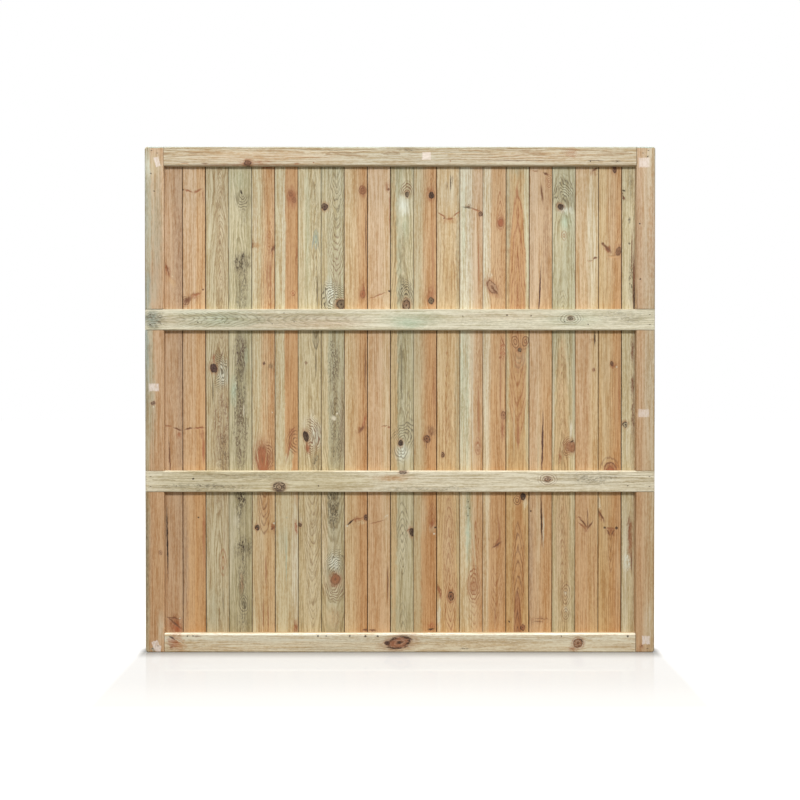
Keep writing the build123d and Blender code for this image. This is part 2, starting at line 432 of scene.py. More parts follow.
# From the left, as seen from the railed side.
BOARD_FIGURES = [
    # Dull pink, with resin runs, and bark at its foot
    Figure("rose", "rose", pith=(150, 40), ring=7, rings=0.3, bands=0.6, foot=0.45, marks=[
        patch(34, 1000, 16, 800, "brown", 0.3), patch(24, 1500, 24, 330, "brown", 0.28),
        # Painted light: the cream patch down its left edge lifts the stile's shade there.
        patch(-34, 760, 14, 500, "cream", 0.8), patch(-14, 1372, 13, 40, "rust", 1.0, 20),
        crack(-12, 1376, 30, 3.0, "brown", 0.8, 16), patch(0, 1340, 14, 34, "honey", 0.8, 30),
        speck(6, 1355, 3, "cream"), smear(-14, 814, 22, 3.4, "rust", 0.95, -6),
        smear(22, 803, 20, 4.4, "brown", 1.0, -20), patch(28, 784, 13, 20, "rust", 1.0),
        crack(-6, 700, 84, 3.6, "brown", 1.0, 2), crack(-15, 400, 170, 4.2, "dark", 1.0, 1),
        patch(12, 96, 34, 38, "rust", 1.0), patch(20, 80, 20, 26, "red", 0.8),
        crack(10, 101, 44, 4.6, "brown", 1.0, 50), smear(8, 118, 30, 3.4, "brown", 0.9, -8),
        speck(30, 118, 3, "milk")]),
    # Pink to honey, with branch scars at four heights
    Figure("pink", "honey", heart_radius=150, pith=(150, 40), ring=7, rings=0.3, foot=1.0, marks=[
        patch(-38, 700, 8, 800, "brown", 0.25), smear(-20, 1660, 20, 4.6, "rust", 0.95, -20),
        smear(14, 1661, 22, 5.4, "rust", 0.95, 26), patch(33, 1640, 6, 24, "rust", 0.6),
        speck(-40, 1664, 3.5), patch(-30, 1262, 14, 18, "brown", 0.9, -30),
        smear(-24, 1268, 20, 11.0, "brown", 1.0, 34), smear(8, 1288, 22, 6.0, "rust", 1.0, 14),
        patch(-2, 1280, 28, 16, "rust", 0.7, 30), speck(32, 1305, 4, "brown"),
        arcs(-30, 1262, 20, 22, "brown", 0.7, 0, 3), smear(-20, 803, 18, 4.6, "brown", 1.0, 12),
        smear(18, 806, 26, 4.4, "rust", 1.0, 4), patch(28, 790, 10, 20, "rust", 0.8),
        crack(33, 728, 66, 6.0, "red", 0.8), speck(14, 484, 3.5), patch(31, 466, 8, 16, "red", 0.6),
        crack(34, 420, 130, 5.0, "red", 0.6), patch(32, 305, 8, 60, "red", 0.7),
        patch(28, 300, 18, 320, "amber", 0.9), patch(-34, 300, 16, 330, "rose", 0.8),
        patch(-34, 300, 16, 330, "brown", 0.22)]),
    # Peaks of grain, and one dark oval knot half way up
    Figure(
        "olive", "olive", pith=(7, 26), taper=20, wander=8, ring=5.2, rings=0.75, cool=0.2,
        foot=0.26, marks=[
            patch(-30, 1300, 12, 500, "pale", 0.6),
            flame(10, 1700, 17, 60, "straw", 0.6, 1, 6, "brown", 0.2),
            flame(13, 1590, 20, 100, "straw", 0.6, 1, 8, "brown", 0.2),
            flame(12, 1440, 20, 110, "straw", 0.6, 1, 8, "brown", 0.2),
            flame(14, 1310, 16, 80, "straw", 0.5, 1, 6, "brown", 0.2),
            flame(16, 1110, 16, 60, "straw", 0.5, -1, 4, "brown", 0.2),
            patch(-12, 1056, 9, 22, "rust", 0.9), crack(14, 1064, 36, 3.0, "brown", 0.7, -18),
            patch(22, 1004, 26, 54, "frost", 0.9),
            arcs(-10, 1010, 60, 76, "stain", 0.9, 0, 10, True),
            knot(-13, 1022, 12, 15, "plum", 1.0, 20, 0.95), crack(-16, 940, 56, 3.6, "stain", 0.8),
            mottle(16, 840, 34, 130, "brown", 0.7), mottle(20, 700, 32, 90, "brown", 0.5),
            mottle(22, 700, 20, 90, "stain", 0.5), mottle(10, 560, 24, 90, "brown", 0.3),
            patch(-6, 380, 40, 200, "pale", 0.5), arcs(20, 322, 14, 56, "rust", 0.7, 0, 2),
            patch(20, 330, 9, 30, "straw", 0.6), patch(-10, 140, 44, 130, "green", 0.5),
            crack(24, 420, 60, 2.0, "rust", 0.6), crack(20, 180, 60, 2.6, "stain", 0.5)]),
    # Green sapwood, speckled with mould from top to bottom
    Figure(
        "green", "green", pith=(-6, 24), taper=10, wander=9, ring=4.6, rings=0.75, cool=0.8,
        foot=0.55, marks=[
            cover(10, 1560, 50, 280, "pale", 0.7), patch(-26, 1200, 20, 700, "pale", 0.8),
            patch(-30, 420, 14, 300, "milk", 0.5), patch(0, 1700, 40, 60, "teal", 0.3),
            arcs(8, 1650, 66, 34, "stain", 0.8, -90, 6, True),
            crack(4, 1655, 12, 3.4, "dark", 1.0, 20), mottle(14, 1590, 20, 60, "stain", 0.4),
            mottle(6, 1404, 38, 48, "dark", 0.85), patch(5, 1400, 30, 40, "stain", 0.4),
            mottle(8, 1330, 26, 70, "stain", 0.7), mottle(6, 1262, 30, 40, "stain", 0.7),
            patch(2, 1080, 22, 80, "stain", 0.3), mottle(0, 1070, 30, 92, "plum", 0.8),
            mottle(-2, 930, 26, 140, "stain", 0.9), patch(-24, 940, 16, 60, "teal", 0.8),
            patch(24, 1060, 12, 50, "teal", 0.7), patch(31, 900, 12, 300, "pale", 1.0),
            patch(-4, 330, 36, 320, "pale", 0.4), mottle(0, 800, 30, 160, "stain", 0.95),
            mottle(0, 780, 26, 150, "brown", 0.3), crack(12, 870, 30, 4.0, "milk", 0.7),
            mottle(2, 560, 24, 76, "dark", 0.85), patch(-16, 476, 16, 40, "milk", 0.6),
            mottle(0, 470, 20, 60, "stain", 0.7), mottle(10, 368, 36, 46, "dark", 0.9),
            patch(12, 370, 24, 30, "stain", 0.35), patch(4, 245, 9, 50, "rust", 0.5),
            mottle(8, 262, 24, 90, "stain", 0.7), patch(14, 170, 12, 18, "stain", 0.8),
            arcs(12, 168, 24, 42, "stain", 0.8, 0, 4), mottle(6, 96, 28, 50, "stain", 0.7)]),
    # Sapwood on the left, and a large red knot below the middle
    Figure(
        "pale", "honey", heart_radius=74, pith=(62, 30), taper=6, wander=4, ring=7, rings=0.6,
        edge=14, foot=0.36, marks=[
            patch(-30, 1500, 12, 260, "milk", 0.6), patch(14, 1748, 28, 12, "rust", 1.0),
            patch(20, 1722, 14, 16, "orange", 0.9), patch(-40, 1465, 9, 18, "brown", 0.9),
            patch(-24, 1460, 20, 14, "orange", 0.6), patch(16, 1500, 8, 200, "orange", 0.3),
            flame(24, 1500, 12, 60, "honey", 0.6, 1, 4), arcs(20, 1482, 14, 40, "rust", 0.6, 0, 3),
            cover(8, 320, 50, 330, "straw", 0.75), patch(-12, 300, 16, 300, "cream", 0.9),
            patch(32, 1450, 10, 24, "rust", 0.9, -30), smear(34, 1452, 14, 7.0, "brown", 0.9, 60),
            crack(24, 1370, 60, 5.0, "rust", 0.8), crack(14, 1360, 80, 3.4, "rust", 0.7),
            arcs(24, 1290, 12, 50, "rust", 0.6, 0, 2), knot(2, 1038, 4, 5, "plum", 0.95),
            patch(28, 1028, 12, 14, "stain", 0.7), patch(10, 950, 8, 200, "cream", 0.9),
            patch(32, 880, 11, 180, "orange", 0.8), speck(32, 862, 2.5, "milk"),
            patch(0, 706, 28, 60, "rust", 0.6, 8), arcs(8, 704, 36, 56, "brown", 0.9, 0, 6, True),
            knot(-4, 692, 21, 50, "red", 1.0, 6, 0.8, 0.5, "brown"),
            crack(-6, 690, 44, 4.0, "rust", 0.9, 8), crack(8, 700, 40, 3.4, "orange", 0.9, -4),
            crack(-22, 708, 36, 3.0, "cream", 0.7, 8), knot(-23, 446, 8, 8, "dark", 1.0, 0, 0.9),
            speck(-26, 443, 3, "rust"), patch(35, 446, 8, 18, "rust", 1.0, 20),
            smear(32, 444, 10, 4.0, "brown", 0.9, 50), speck(38, 462, 4, "milk"),
            patch(4, 520, 20, 60, "orange", 0.8),
            flame(2, 500, 24, 100, "orange", 0.8, -1, 6, "brown", 0.4),
            crack(8, 290, 80, 3.4, "rust", 0.8), crack(-2, 130, 70, 3.0, "rust", 0.7),
            crack(16, 120, 60, 3.0, "rust", 0.7)]),
    # Amber above the lower middle rail and pale below it
    Figure(
        "pale", "orange", heart_radius=62, pith=(52, 24), taper=4, wander=6, ring=7, rings=0.4,
        edge=3, foot=0.42, marks=[
            cover(26, 1500, 24, 270, "amber", 0.9), patch(4, 1500, 40, 290, "brown", 0.14),
            patch(-32, 900, 12, 260, "brown", 0.14), patch(-12, 1500, 7, 330, "milk", 0.7),
            patch(20, 1640, 22, 38, "rust", 1.0), mottle(22, 1630, 20, 44, "red", 0.7),
            knot(16, 1652, 8, 10, "rust", 0.9, 0, 0.5, 0.7, "brown"),
            knot(28, 1628, 7, 9, "rust", 0.9, 0, 0.5, 0.7, "brown"),
            arcs(24, 1292, 10, 12, "red", 0.9, 0, 2), speck(28, 1284, 3, "rust"),
            patch(36, 1420, 5, 60, "rust", 0.6), cover(26, 900, 24, 220, "amber", 1.0),
            patch(20, 790, 18, 22, "rust", 0.7), arcs(36, 758, 40, 50, "brown", 0.9, 180, 5, True),
            smear(22, 800, 20, 4.0, "rust", 0.8, 50), cover(2, 668, 17, 66, "pale", 1.0, -12),
            cover(-14, 900, 9, 170, "pale", 0.8), crack(10, 735, 70, 4.4, "rust", 0.9, -12),
            cover(0, 320, 60, 325, "pale", 1.0), patch(30, 320, 16, 300, "milk", 0.9),
            patch(-10, 400, 30, 60, "green", 0.5), crack(-2, 330, 120, 3.0, "teal", 0.8),
            patch(35, 443, 7, 28, "red", 1.0), speck(1, 482, 3.5, "green"),
            patch(31, 88, 9, 26, "rust", 1.0)]),
    # Pale, with peaks of grain and a dark oval knot
    Figure(
        "pale", "pale", pith=(12, 22), taper=-40, wander=7, ring=5, rings=0.7, cool=0.4, foot=0.5,
        marks=[
            patch(-30, 1500, 16, 260, "cream", 0.3), patch(-8, 1500, 14, 300, "teal", 0.4),
            flame(20, 1620, 15, 120, "pale", 0.6, 1, 8, "stain", 0.1),
            crack(13, 1480, 40, 2.8, "slate", 0.9, -8), crack(32, 1470, 44, 2.4, "stain", 0.6, 8),
            patch(23, 1488, 9, 34, "teal", 1.0), arcs(23, 1486, 11, 38, "slate", 0.8, 0, 2),
            flame(24, 1380, 14, 90, "olive", 0.6, 1, 5, "stain", 0.3),
            crack(28, 1300, 80, 4.0, "stain", 0.7),
            flame(22, 1120, 12, 40, "stain", 0.8, -1, 2, "stain", 0.5),
            crack(22, 1040, 60, 3.0, "stain", 0.7), speck(-13, 1041, 6, "brown", 0.6),
            patch(24, 780, 28, 56, "frost", 0.9), patch(6, 840, 14, 40, "milk", 0.7),
            arcs(-9, 776, 60, 76, "brown", 0.9, 0, 10, True), patch(-8, 736, 13, 30, "red", 0.9),
            knot(-13, 776, 9, 17, "dark", 1.0, 12, 1.0), mottle(24, 676, 20, 44, "stain", 0.9),
            patch(-20, 820, 14, 40, "milk", 0.5), knot(-37, 457, 6, 7, "dark", 1.0),
            patch(-32, 476, 8, 14, "milk", 0.8),
            flame(10, 500, 26, 90, "pale", 0.55, -1, 5, "brown", 0.3),
            flame(10, 350, 28, 110, "pale", 0.6, -1, 7, "brown", 0.4),
            flame(10, 180, 24, 110, "pale", 0.5, -1, 7, "brown", 0.3),
            patch(4, 330, 40, 320, "cream", 0.4)]),
    # Green, with knots that the grain sweeps round
    Figure(
        "green", "green", pith=(2, 28), taper=-60, wander=9, ring=5.0, rings=0.8, cool=0.5,
        foot=0.6, marks=[
            cover(-30, 900, 14, 900, "pale", 1.0), patch(-8, 1640, 40, 110, "pale", 1.0),
            flame(14, 1700, 26, 80, "pale", 0.6, -1, 6, "stain", 0.3),
            knot(-29, 1604, 10, 11, "plum", 1.0, 0, 0.8),
            flame(14, 1570, 30, 120, "pale", 0.75, -1, 8, "stain", 0.5),
            flame(14, 1410, 32, 120, "pale", 0.75, -1, 9, "brown", 0.4),
            patch(14, 1380, 14, 100, "brown", 0.2), patch(-12, 1290, 30, 60, "frost", 1.0),
            arcs(28, 1250, 104, 70, "stain", 1.0, 135, 12, True),
            patch(28, 1252, 20, 18, "brown", 0.7), knot(30, 1252, 15, 14, "stain", 0.9, 20, 0.8),
            mottle(4, 1060, 24, 110, "stain", 0.9), mottle(2, 920, 20, 160, "dark", 0.4),
            mottle(16, 900, 30, 260, "brown", 0.2), patch(0, 330, 40, 320, "milk", 0.28),
            cover(-30, 420, 12, 200, "milk", 0.8), patch(32, 820, 10, 170, "brown", 0.5),
            speck(4, 842, 9, "milk"), speck(16, 858, 4, "milk"),
            mottle(12, 740, 26, 100, "stain", 0.8),
            flame(14, 880, 26, 70, "green", 0.6, 1, 6, "stain", 0.2),
            mottle(4, 520, 28, 120, "stain", 0.95), mottle(2, 530, 20, 90, "dark", 0.5),
            patch(6, 318, 30, 34, "frost", 0.7), arcs(10, 262, 120, 50, "stain", 0.9, 90, 12, True),
            arcs(8, 250, 80, 48, "brown", 0.8, -90, 8, True), patch(10, 259, 18, 20, "rust", 0.8),
            knot(10, 259, 15, 18, "rust", 1.0, 0, 0.9, 0.9, "brown"),
            patch(0, 120, 44, 50, "straw", 0.7), mottle(10, 110, 16, 50, "brown", 0.5)]),
    # Cream, with an orange right edge and small red knots
    Figure(
        "cream", "orange", heart_radius=74, pith=(70, 30), taper=4, wander=4, ring=7, rings=0.35,
        edge=30, foot=0.5, marks=[
            patch(33, 1500, 12, 330, "orange", 0.8), patch(24, 1665, 16, 26, "rust", 0.8),
            arcs(24, 1664, 15, 18, "brown", 1.0, 0, 2),
            knot(25, 1660, 8, 12, "rust", 0.9, 0, 0.5, 0.7, "brown"),
            crack(35, 1500, 130, 2.6, "brown", 0.8), patch(-32, 1480, 12, 300, "brown", 0.12),
            patch(26, 1310, 9, 30, "rust", 0.8), patch(20, 1262, 18, 26, "orange", 0.8),
            knot(25, 1290, 9, 13, "red", 0.95, 0, 0.7, 0.7, "brown"),
            patch(33, 980, 10, 150, "orange", 0.8), crack(34, 1030, 110, 3.4, "brown", 0.8),
            patch(20, 802, 12, 28, "rust", 1.0, -42), smear(20, 800, 20, 7.0, "brown", 0.8, 52),
            patch(30, 830, 6, 26, "red", 0.9, -20), patch(-30, 1500, 16, 330, "straw", 0.6),
            patch(18, 760, 26, 50, "orange", 0.5), patch(-6, 470, 30, 12, "rust", 0.7, 16),
            crack(-20, 465, 20, 5.0, "dark", 1.0, -48), speck(-32, 452, 4, "milk"),
            smear(8, 478, 26, 3.4, "rust", 0.9, 14), patch(20, 466, 20, 6, "cream", 0.7, 10),
            knot(36, 483, 7, 9, "brown", 1.0, 0, 0.9), smear(34, 76, 12, 5.0, "brown", 1.0, 0)]),
    # Pink and quarter sawn, with resin runs
    Figure("pink", "pink", pith=(-160, 40), ring=7, rings=0.25, foot=0.7, marks=[
        patch(28, 900, 22, 900, "cream", 0.7), patch(-34, 1000, 9, 800, "honey", 0.6),
        speck(34, 1666, 5, "brown"), patch(30, 1676, 10, 20, "rust", 0.6),
        crack(40, 1600, 120, 2.6, "red", 0.9), smear(-4, 1284, 42, 3.0, "rust", 0.8, 20),
        patch(-12, 1268, 34, 14, "honey", 1.0, -22), speck(37, 1300, 3.5),
        speck(35, 808, 3.5, "rust"), smear(20, 812, 16, 3.0, "rust", 0.75, 14),
        smear(-6, 466, 38, 3.0, "rust", 0.6, 14), patch(28, 486, 10, 8, "milk", 0.8),
        crack(31, 245, 90, 3.4, "brown", 0.9), smear(-24, 74, 16, 5.0, "brown", 0.9)]),
    # Green, with knots whose grain flares to one side
    Figure(
        "green", "green", pith=(-2, 24), taper=40, wander=8, ring=5.0, rings=0.7, cool=0.6,
        foot=0.46, marks=[
            cover(-30, 900, 14, 900, "straw", 0.8), cover(20, 1500, 26, 300, "pale", 0.8),
            patch(24, 700, 16, 500, "pale", 0.8), arcs(18, 1645, 56, 30, "brown", 0.9, 90, 5, True),
            patch(8, 1606, 30, 40, "frost", 1.0), patch(14, 1660, 18, 16, "olive", 0.8),
            knot(18, 1648, 6, 9, "stain", 0.95, 0, 0.8), patch(12, 1530, 18, 60, "teal", 0.5),
            mottle(2, 1430, 16, 140, "stain", 0.3), mottle(10, 1300, 26, 60, "stain", 0.4),
            arcs(14, 1256, 90, 36, "dark", 0.8, 90, 8, True),
            knot(16, 1250, 13, 17, "brown", 1.0, 0, 0.6, 1.0),
            mottle(-4, 1000, 14, 200, "stain", 0.4), crack(-2, 1010, 150, 3.0, "stain", 0.6),
            patch(0, 330, 24, 300, "pale", 0.7),
            flame(22, 860, 16, 90, "olive", 0.6, 1, 5, "stain", 0.1),
            patch(2, 716, 30, 36, "frost", 1.0), arcs(-5, 740, 60, 34, "stain", 0.7, -90, 5, True),
            arcs(-5, 748, 110, 50, "stain", 0.8, 62, 7, True),
            knot(-5, 752, 8, 10, "dark", 1.0, 0, 1.0),
            flame(2, 480, 22, 70, "olive", 0.7, 1, 5, "stain", 0.1),
            patch(26, 436, 9, 24, "pink", 0.9), smear(24, 438, 12, 4.0, "rust", 0.7, 30),
            knot(36, 430, 8, 14, "dark", 1.0, 10, 0.9),
            flame(2, 350, 18, 90, "olive", 0.7, -1, 6, "stain", 0.1),
            flame(2, 120, 18, 70, "pale", 0.5, 1, 4, "stain", 0.1)]),
    # Olive sapwood and orange heart, with dark round knots
    Figure(
        "olive", "orange", heart_radius=62, pith=(56, 20), taper=5, wander=5, ring=6, rings=0.45,
        edge=24, foot=0.65, marks=[
            cover(-32, 1450, 12, 330, "olive", 0.8), patch(6, 1450, 16, 300, "honey", 0.8),
            flame(22, 1690, 14, 40, "orange", 0.4, 1, 4, "brown"),
            patch(22, 1650, 18, 30, "rust", 0.85), knot(23, 1645, 9, 10, "dark", 1.0, 0, 0.9),
            crack(28, 1400, 180, 6.0, "rust", 0.5), patch(22, 1290, 20, 34, "rust", 0.85),
            knot(22, 1266, 11, 11, "stain", 0.95, 0, 0.8), patch(34, 950, 9, 160, "rust", 0.5),
            cover(4, 320, 20, 330, "orange", 0.7), patch(22, 792, 22, 22, "brown", 0.7, -40),
            arcs(6, 766, 15, 16, "dark", 1.0, 0, 1.8), knot(6, 766, 9, 11, "rust", 1.0, 0, 0.7),
            crack(4, 740, 16, 2.6, "brown", 0.8), patch(-6, 500, 14, 90, "cream", 0.5),
            flame(26, 500, 16, 40, "rust", 0.6, 1, 4), patch(26, 446, 12, 26, "pink", 1.0),
            patch(26, 462, 10, 14, "red", 0.8), speck(37, 446, 4, "dark"),
            speck(33, 424, 4, "milk"), smear(22, 78, 16, 5.0, "dark", 0.9, 6),
            patch(24, 92, 18, 14, "red", 0.7)]),
    # Cream, with scars and cracks at the top and a knot near the foot
    Figure("cream", "cream", pith=(2, 30), taper=10, wander=5, ring=6, rings=0.5, foot=0.9, marks=[
        cover(36, 900, 9, 900, "olive", 0.9), patch(-32, 1500, 12, 300, "brown", 0.16),
        patch(34, 1500, 10, 300, "brown", 0.14), patch(0, 1650, 30, 70, "milk", 0.6),
        cover(0, 1200, 36, 320, "straw", 0.5), smear(-24, 1574, 22, 3.6, "rust", 0.95, -34),
        smear(6, 1560, 18, 4.0, "rust", 0.9, 6), smear(30, 1578, 18, 3.4, "rust", 0.9, 40),
        patch(0, 1556, 36, 14, "honey", 0.8), speck(-14, 1562, 3.5, "brown"),
        crack(9, 1690, 40, 2.6, "dark", 1.0), crack(-4, 1680, 20, 1.8, "brown", 0.8),
        crack(16, 1700, 22, 1.8, "brown", 0.7), flame(-6, 1040, 10, 60, "straw", 0.5, -1, 3),
        flame(-6, 920, 10, 60, "straw", 0.5, -1, 3), flame(-6, 800, 12, 60, "honey", 0.5, -1, 3),
        knot(-20, 710, 5, 9, "brown", 0.95), patch(30, 900, 10, 260, "olive", 0.5),
        patch(0, 380, 26, 200, "honey", 0.7),
        flame(2, 430, 22, 160, "honey", 0.75, 1, 7, "rust", 0.3),
        patch(-31, 212, 9, 34, "rust", 1.0, 14), smear(-32, 224, 16, 5.0, "rust", 0.8, -52),
        patch(-34, 130, 8, 70, "milk", 0.9),
        flame(8, 140, 24, 120, "orange", 0.9, -1, 7, "rust", 0.5),
        knot(10, 198, 9, 15, "brown", 1.0, 0, 0.9), arcs(10, 198, 18, 28, "rust", 0.7, 0, 2)]),
    # The palest board, with an orange knot near the foot
    Figure(
        "chalk", "pink", heart_radius=70, pith=(72, 24), taper=-8, wander=4, ring=6, rings=0.4,
        edge=24, foot=0.85, marks=[
            patch(-10, 1300, 16, 700, "chalk", 0.4), patch(-8, 1500, 16, 280, "brown", 0.16),
            patch(-32, 950, 11, 330, "teal", 0.6), patch(-28, 1500, 10, 220, "teal", 0.4),
            smear(-14, 1600, 24, 4.4, "stain", 0.9, -8),
            smear(16, 1592, 24, 4.0, "rust", 0.85, -20), knot(33, 1578, 7, 7, "brown", 0.9),
            patch(-10, 1606, 12, 8, "brown", 0.8), crack(26, 1400, 130, 4.0, "rust", 0.65),
            patch(-16, 900, 10, 330, "teal", 0.6), crack(4, 900, 300, 4.0, "milk", 0.7),
            crack(26, 860, 130, 6.0, "rust", 0.6), flame(24, 1000, 14, 120, "honey", 0.5, -1, 6),
            knot(24, 738, 7, 14, "cream", 0.9, 0, 0.6, 0.6, "rust"),
            arcs(24, 740, 13, 36, "rust", 0.7, 0, 2), patch(-10, 460, 14, 190, "teal", 0.8),
            mottle(-12, 520, 10, 70, "stain", 0.35), speck(-10, 540, 2.5, "stain"),
            speck(-6, 516, 2.5, "stain"), speck(-12, 490, 2.5, "stain"),
            crack(8, 420, 190, 4.0, "cream", 0.9, 4), patch(24, 500, 14, 140, "orange", 0.6),
            flame(16, 380, 12, 110, "orange", 0.9, 1, 4, "rust", 0.5),
            cover(20, 1500, 24, 260, "rose", 0.3), patch(12, 900, 14, 240, "orange", 0.6),
            patch(9, 232, 30, 50, "honey", 1.0), arcs(9, 240, 28, 74, "rust", 0.9, 0, 5),
            knot(9, 232, 11, 15, "orange", 0.9, 0, 0.6, 0.5, "rust"),
            flame(9, 140, 26, 80, "straw", 0.5, -1, 6, "rust", 0.2)]),
    # Milky, with an amber right edge and three long knots
    Figure(
        "milk", "honey", heart_radius=86, pith=(62, 32), taper=12, wander=4, ring=6, rings=0.55,
        edge=7, foot=0.75, marks=[
            patch(-36, 1300, 8, 600, "chalk", 0.8), patch(-36, 300, 9, 300, "honey", 0.6),
            patch(32, 1450, 14, 300, "amber", 0.9), patch(18, 1470, 26, 300, "brown", 0.12),
            flame(20, 1600, 14, 66, "orange", 0.9, 1, 4, "rust", 0.6),
            arcs(21, 1548, 17, 30, "rust", 0.9, 0, 3),
            knot(21, 1546, 10, 15, "red", 1.0, 0, 1.0, 0.6, "brown"),
            flame(19, 1380, 14, 60, "orange", 0.5, 1, 5), patch(-8, 1314, 18, 30, "rust", 0.8, 38),
            knot(-8, 1314, 13, 26, "pink", 1.0, 38, 0.5, 0.9, "brown"),
            crack(2, 1300, 20, 5.0, "brown", 1.0, 38), patch(-14, 1352, 9, 10, "milk", 0.8),
            mottle(28, 1090, 14, 50, "red", 0.8), crack(30, 1120, 30, 3.0, "rust", 0.9, 20),
            speck(22, 1060, 5, "rust"), crack(22, 960, 160, 5.0, "rust", 0.6),
            knot(33, 852, 8, 13, "rust", 0.9, 0, 0.5, 1.0, "brown"),
            patch(30, 800, 10, 50, "rust", 0.9), patch(10, 386, 24, 11, "rust", 1.0, 34),
            crack(10, 384, 24, 4.4, "brown", 1.0, -56), smear(12, 396, 22, 4.0, "rust", 0.9, 62),
            crack(18, 440, 60, 4.0, "rust", 0.8, 4), patch(10, 300, 40, 300, "orange", 0.5),
            flame(6, 180, 22, 110, "honey", 0.7, -1, 6, "rust", 0.3),
            crack(4, 130, 50, 3.0, "rust", 0.6)]),
    # Straw, with tall amber peaks and a pair of ringed scars
    Figure(
        "straw", "straw", pith=(1, 40), taper=-16, wander=4, ring=7, rings=0.35, foot=0.8, marks=[
            cover(34, 1500, 13, 330, "pale", 1.0), cover(-36, 1620, 8, 200, "green", 0.6),
            patch(0, 1760, 40, 50, "green", 0.9),
            flame(0, 1425, 29, 310, "amber", 1.0, 1, 5, "rust", 1.0),
            flame(0, 1350, 14, 300, "orange", 0.9, 1, 4, "rust", 0.7),
            patch(-28, 1460, 16, 320, "brown", 0.36), patch(4, 1480, 20, 240, "brown", 0.14),
            cover(36, 900, 11, 250, "pale", 0.9), cover(-38, 900, 8, 250, "pale", 0.9),
            patch(2, 1110, 34, 50, "amber", 0.9), patch(-9, 1114, 13, 24, "rust", 0.8),
            arcs(-9, 1118, 19, 30, "brown", 0.8, 14, 2.6), patch(28, 1114, 13, 24, "rust", 0.8),
            arcs(28, 1118, 19, 30, "brown", 0.8, -14, 2.6), patch(8, 1056, 22, 36, "frost", 1.0),
            arcs(6, 1085, 84, 34, "stain", 0.25, -90, 5, True),
            knot(8, 1088, 7, 8, "stain", 0.9, 0, 0.8),
            flame(2, 895, 29, 165, "amber", 0.8, -1, 5, "rust", 1.0),
            crack(2, 780, 70, 6.0, "rust", 0.8), crack(-12, 800, 120, 4.0, "cream", 0.6),
            cover(4, 330, 24, 250, "amber", 0.7), arcs(-2, 545, 18, 22, "brown", 0.9, 0, 2.5),
            cover(28, 534, 8, 20, "milk", 0.7), knot(21, 558, 9, 12, "dark", 1.0, 0, 0.95),
            flame(3, 340, 24, 140, "orange", 0.8, 1, 6, "brown", 0.4),
            flame(1, 130, 14, 100, "rust", 0.9, 1, 3, "brown", 0.7), speck(-29, 105, 3.5),
            knot(20, 84, 8, 10, "red", 0.95, 0, 0.7)]),
    # Pink, with long dark cracks down its middle
    Figure(
        "pink", "honey", heart_radius=99, pith=(96, 20), taper=4, wander=4, ring=7, rings=0.35,
        edge=14, foot=0.62, marks=[
            smear(18, 1722, 14, 6.0, "brown", 1.0, -28), patch(-32, 1480, 12, 300, "brown", 0.18),
            smear(-20, 1732, 14, 3.0, "rust", 0.8), arcs(30, 1694, 16, 30, "rust", 0.9, 0, 4),
            crack(4, 1652, 40, 5.0, "brown", 0.95, 6), crack(-3, 1300, 110, 3.8, "plum", 1.0, -3),
            crack(7, 745, 150, 4.2, "plum", 1.0, -1), patch(22, 1500, 24, 300, "rose", 0.8),
            patch(14, 1500, 20, 300, "brown", 0.14), crack(-8, 700, 90, 3.0, "cream", 0.9),
            crack(4, 480, 120, 4.6, "brown", 1.0, 1), crack(4, 470, 100, 2.4, "dark", 1.0, 1),
            crack(11, 440, 90, 3.0, "milk", 0.9), patch(-36, 300, 9, 300, "rose", 0.7),
            mottle(0, 112, 40, 12, "rust", 0.6), smear(4, 116, 34, 2.4, "brown", 0.5, -4),
            smear(-8, 106, 26, 2.0, "brown", 0.5, 3), speck(-34, 507, 3),
            patch(-8, 600, 12, 500, "cream", 0.6), patch(-36, 300, 14, 300, "brown", 0.25)]),
    # Green above and straw below, with a rust knot
    Figure(
        "green", "green", pith=(-2, 30), taper=40, wander=7, ring=5, rings=0.7, cool=0.5, foot=0.5,
        marks=[
            patch(-20, 1540, 24, 220, "pale", 0.8),
            arcs(-2, 1600, 124, 50, "stain", 0.9, 90, 9, True),
            patch(4, 1590, 34, 18, "frost", 1.0), knot(-11, 1603, 9, 11, "dark", 1.0, 0, 0.85),
            patch(6, 1550, 24, 36, "teal", 1.0), arcs(0, 1500, 11, 20, "rust", 0.7, 0, 2),
            flame(-2, 1262, 18, 50, "pale", 0.5, 1, 5, "stain"),
            cover(0, 560, 60, 600, "pale", 1.0), cover(-6, 620, 30, 540, "straw", 0.8),
            flame(-6, 1040, 16, 100, "straw", 0.6, 1, 7, "rust", 0.2),
            flame(-8, 890, 14, 90, "honey", 0.5, 1, 6, "rust", 0.3),
            crack(36, 950, 250, 5.0, "green", 0.8), crack(-36, 900, 260, 4.0, "milk", 0.6),
            crack(27, 800, 40, 6.0, "milk", 1.0), arcs(22, 736, 36, 42, "brown", 0.9, 180, 5, True),
            patch(-14, 700, 8, 30, "rust", 0.8), patch(-18, 300, 20, 330, "cream", 1.0),
            patch(6, 330, 24, 300, "honey", 0.5), patch(8, 760, 14, 120, "amber", 0.5),
            knot(28, 738, 16, 18, "rust", 0.95, 20, 0.8, 0.6, "brown"),
            smear(30, 756, 10, 4.0, "dark", 0.9, 30),
            flame(-6, 480, 20, 110, "honey", 0.6, 1, 8, "rust", 0.3),
            flame(-4, 320, 22, 100, "straw", 0.5, 1, 7, "rust", 0.3),
            arcs(8, 206, 22, 50, "brown", 0.6, 0, 4), patch(8, 206, 7, 12, "milk", 0.9),
            patch(8, 150, 9, 14, "milk", 0.8), arcs(8, 132, 20, 30, "brown", 0.6, 0, 3)]),
    # Cream over pink, with short scars
    Figure(
        "pink", "cream", heart_radius=120, pith=(130, 30), taper=3, wander=4, ring=7, rings=0.3,
        edge=14, foot=0.9, marks=[
            cover(0, 1500, 60, 280, "cream", 0.5), patch(16, 1500, 24, 330, "chalk", 0.7),
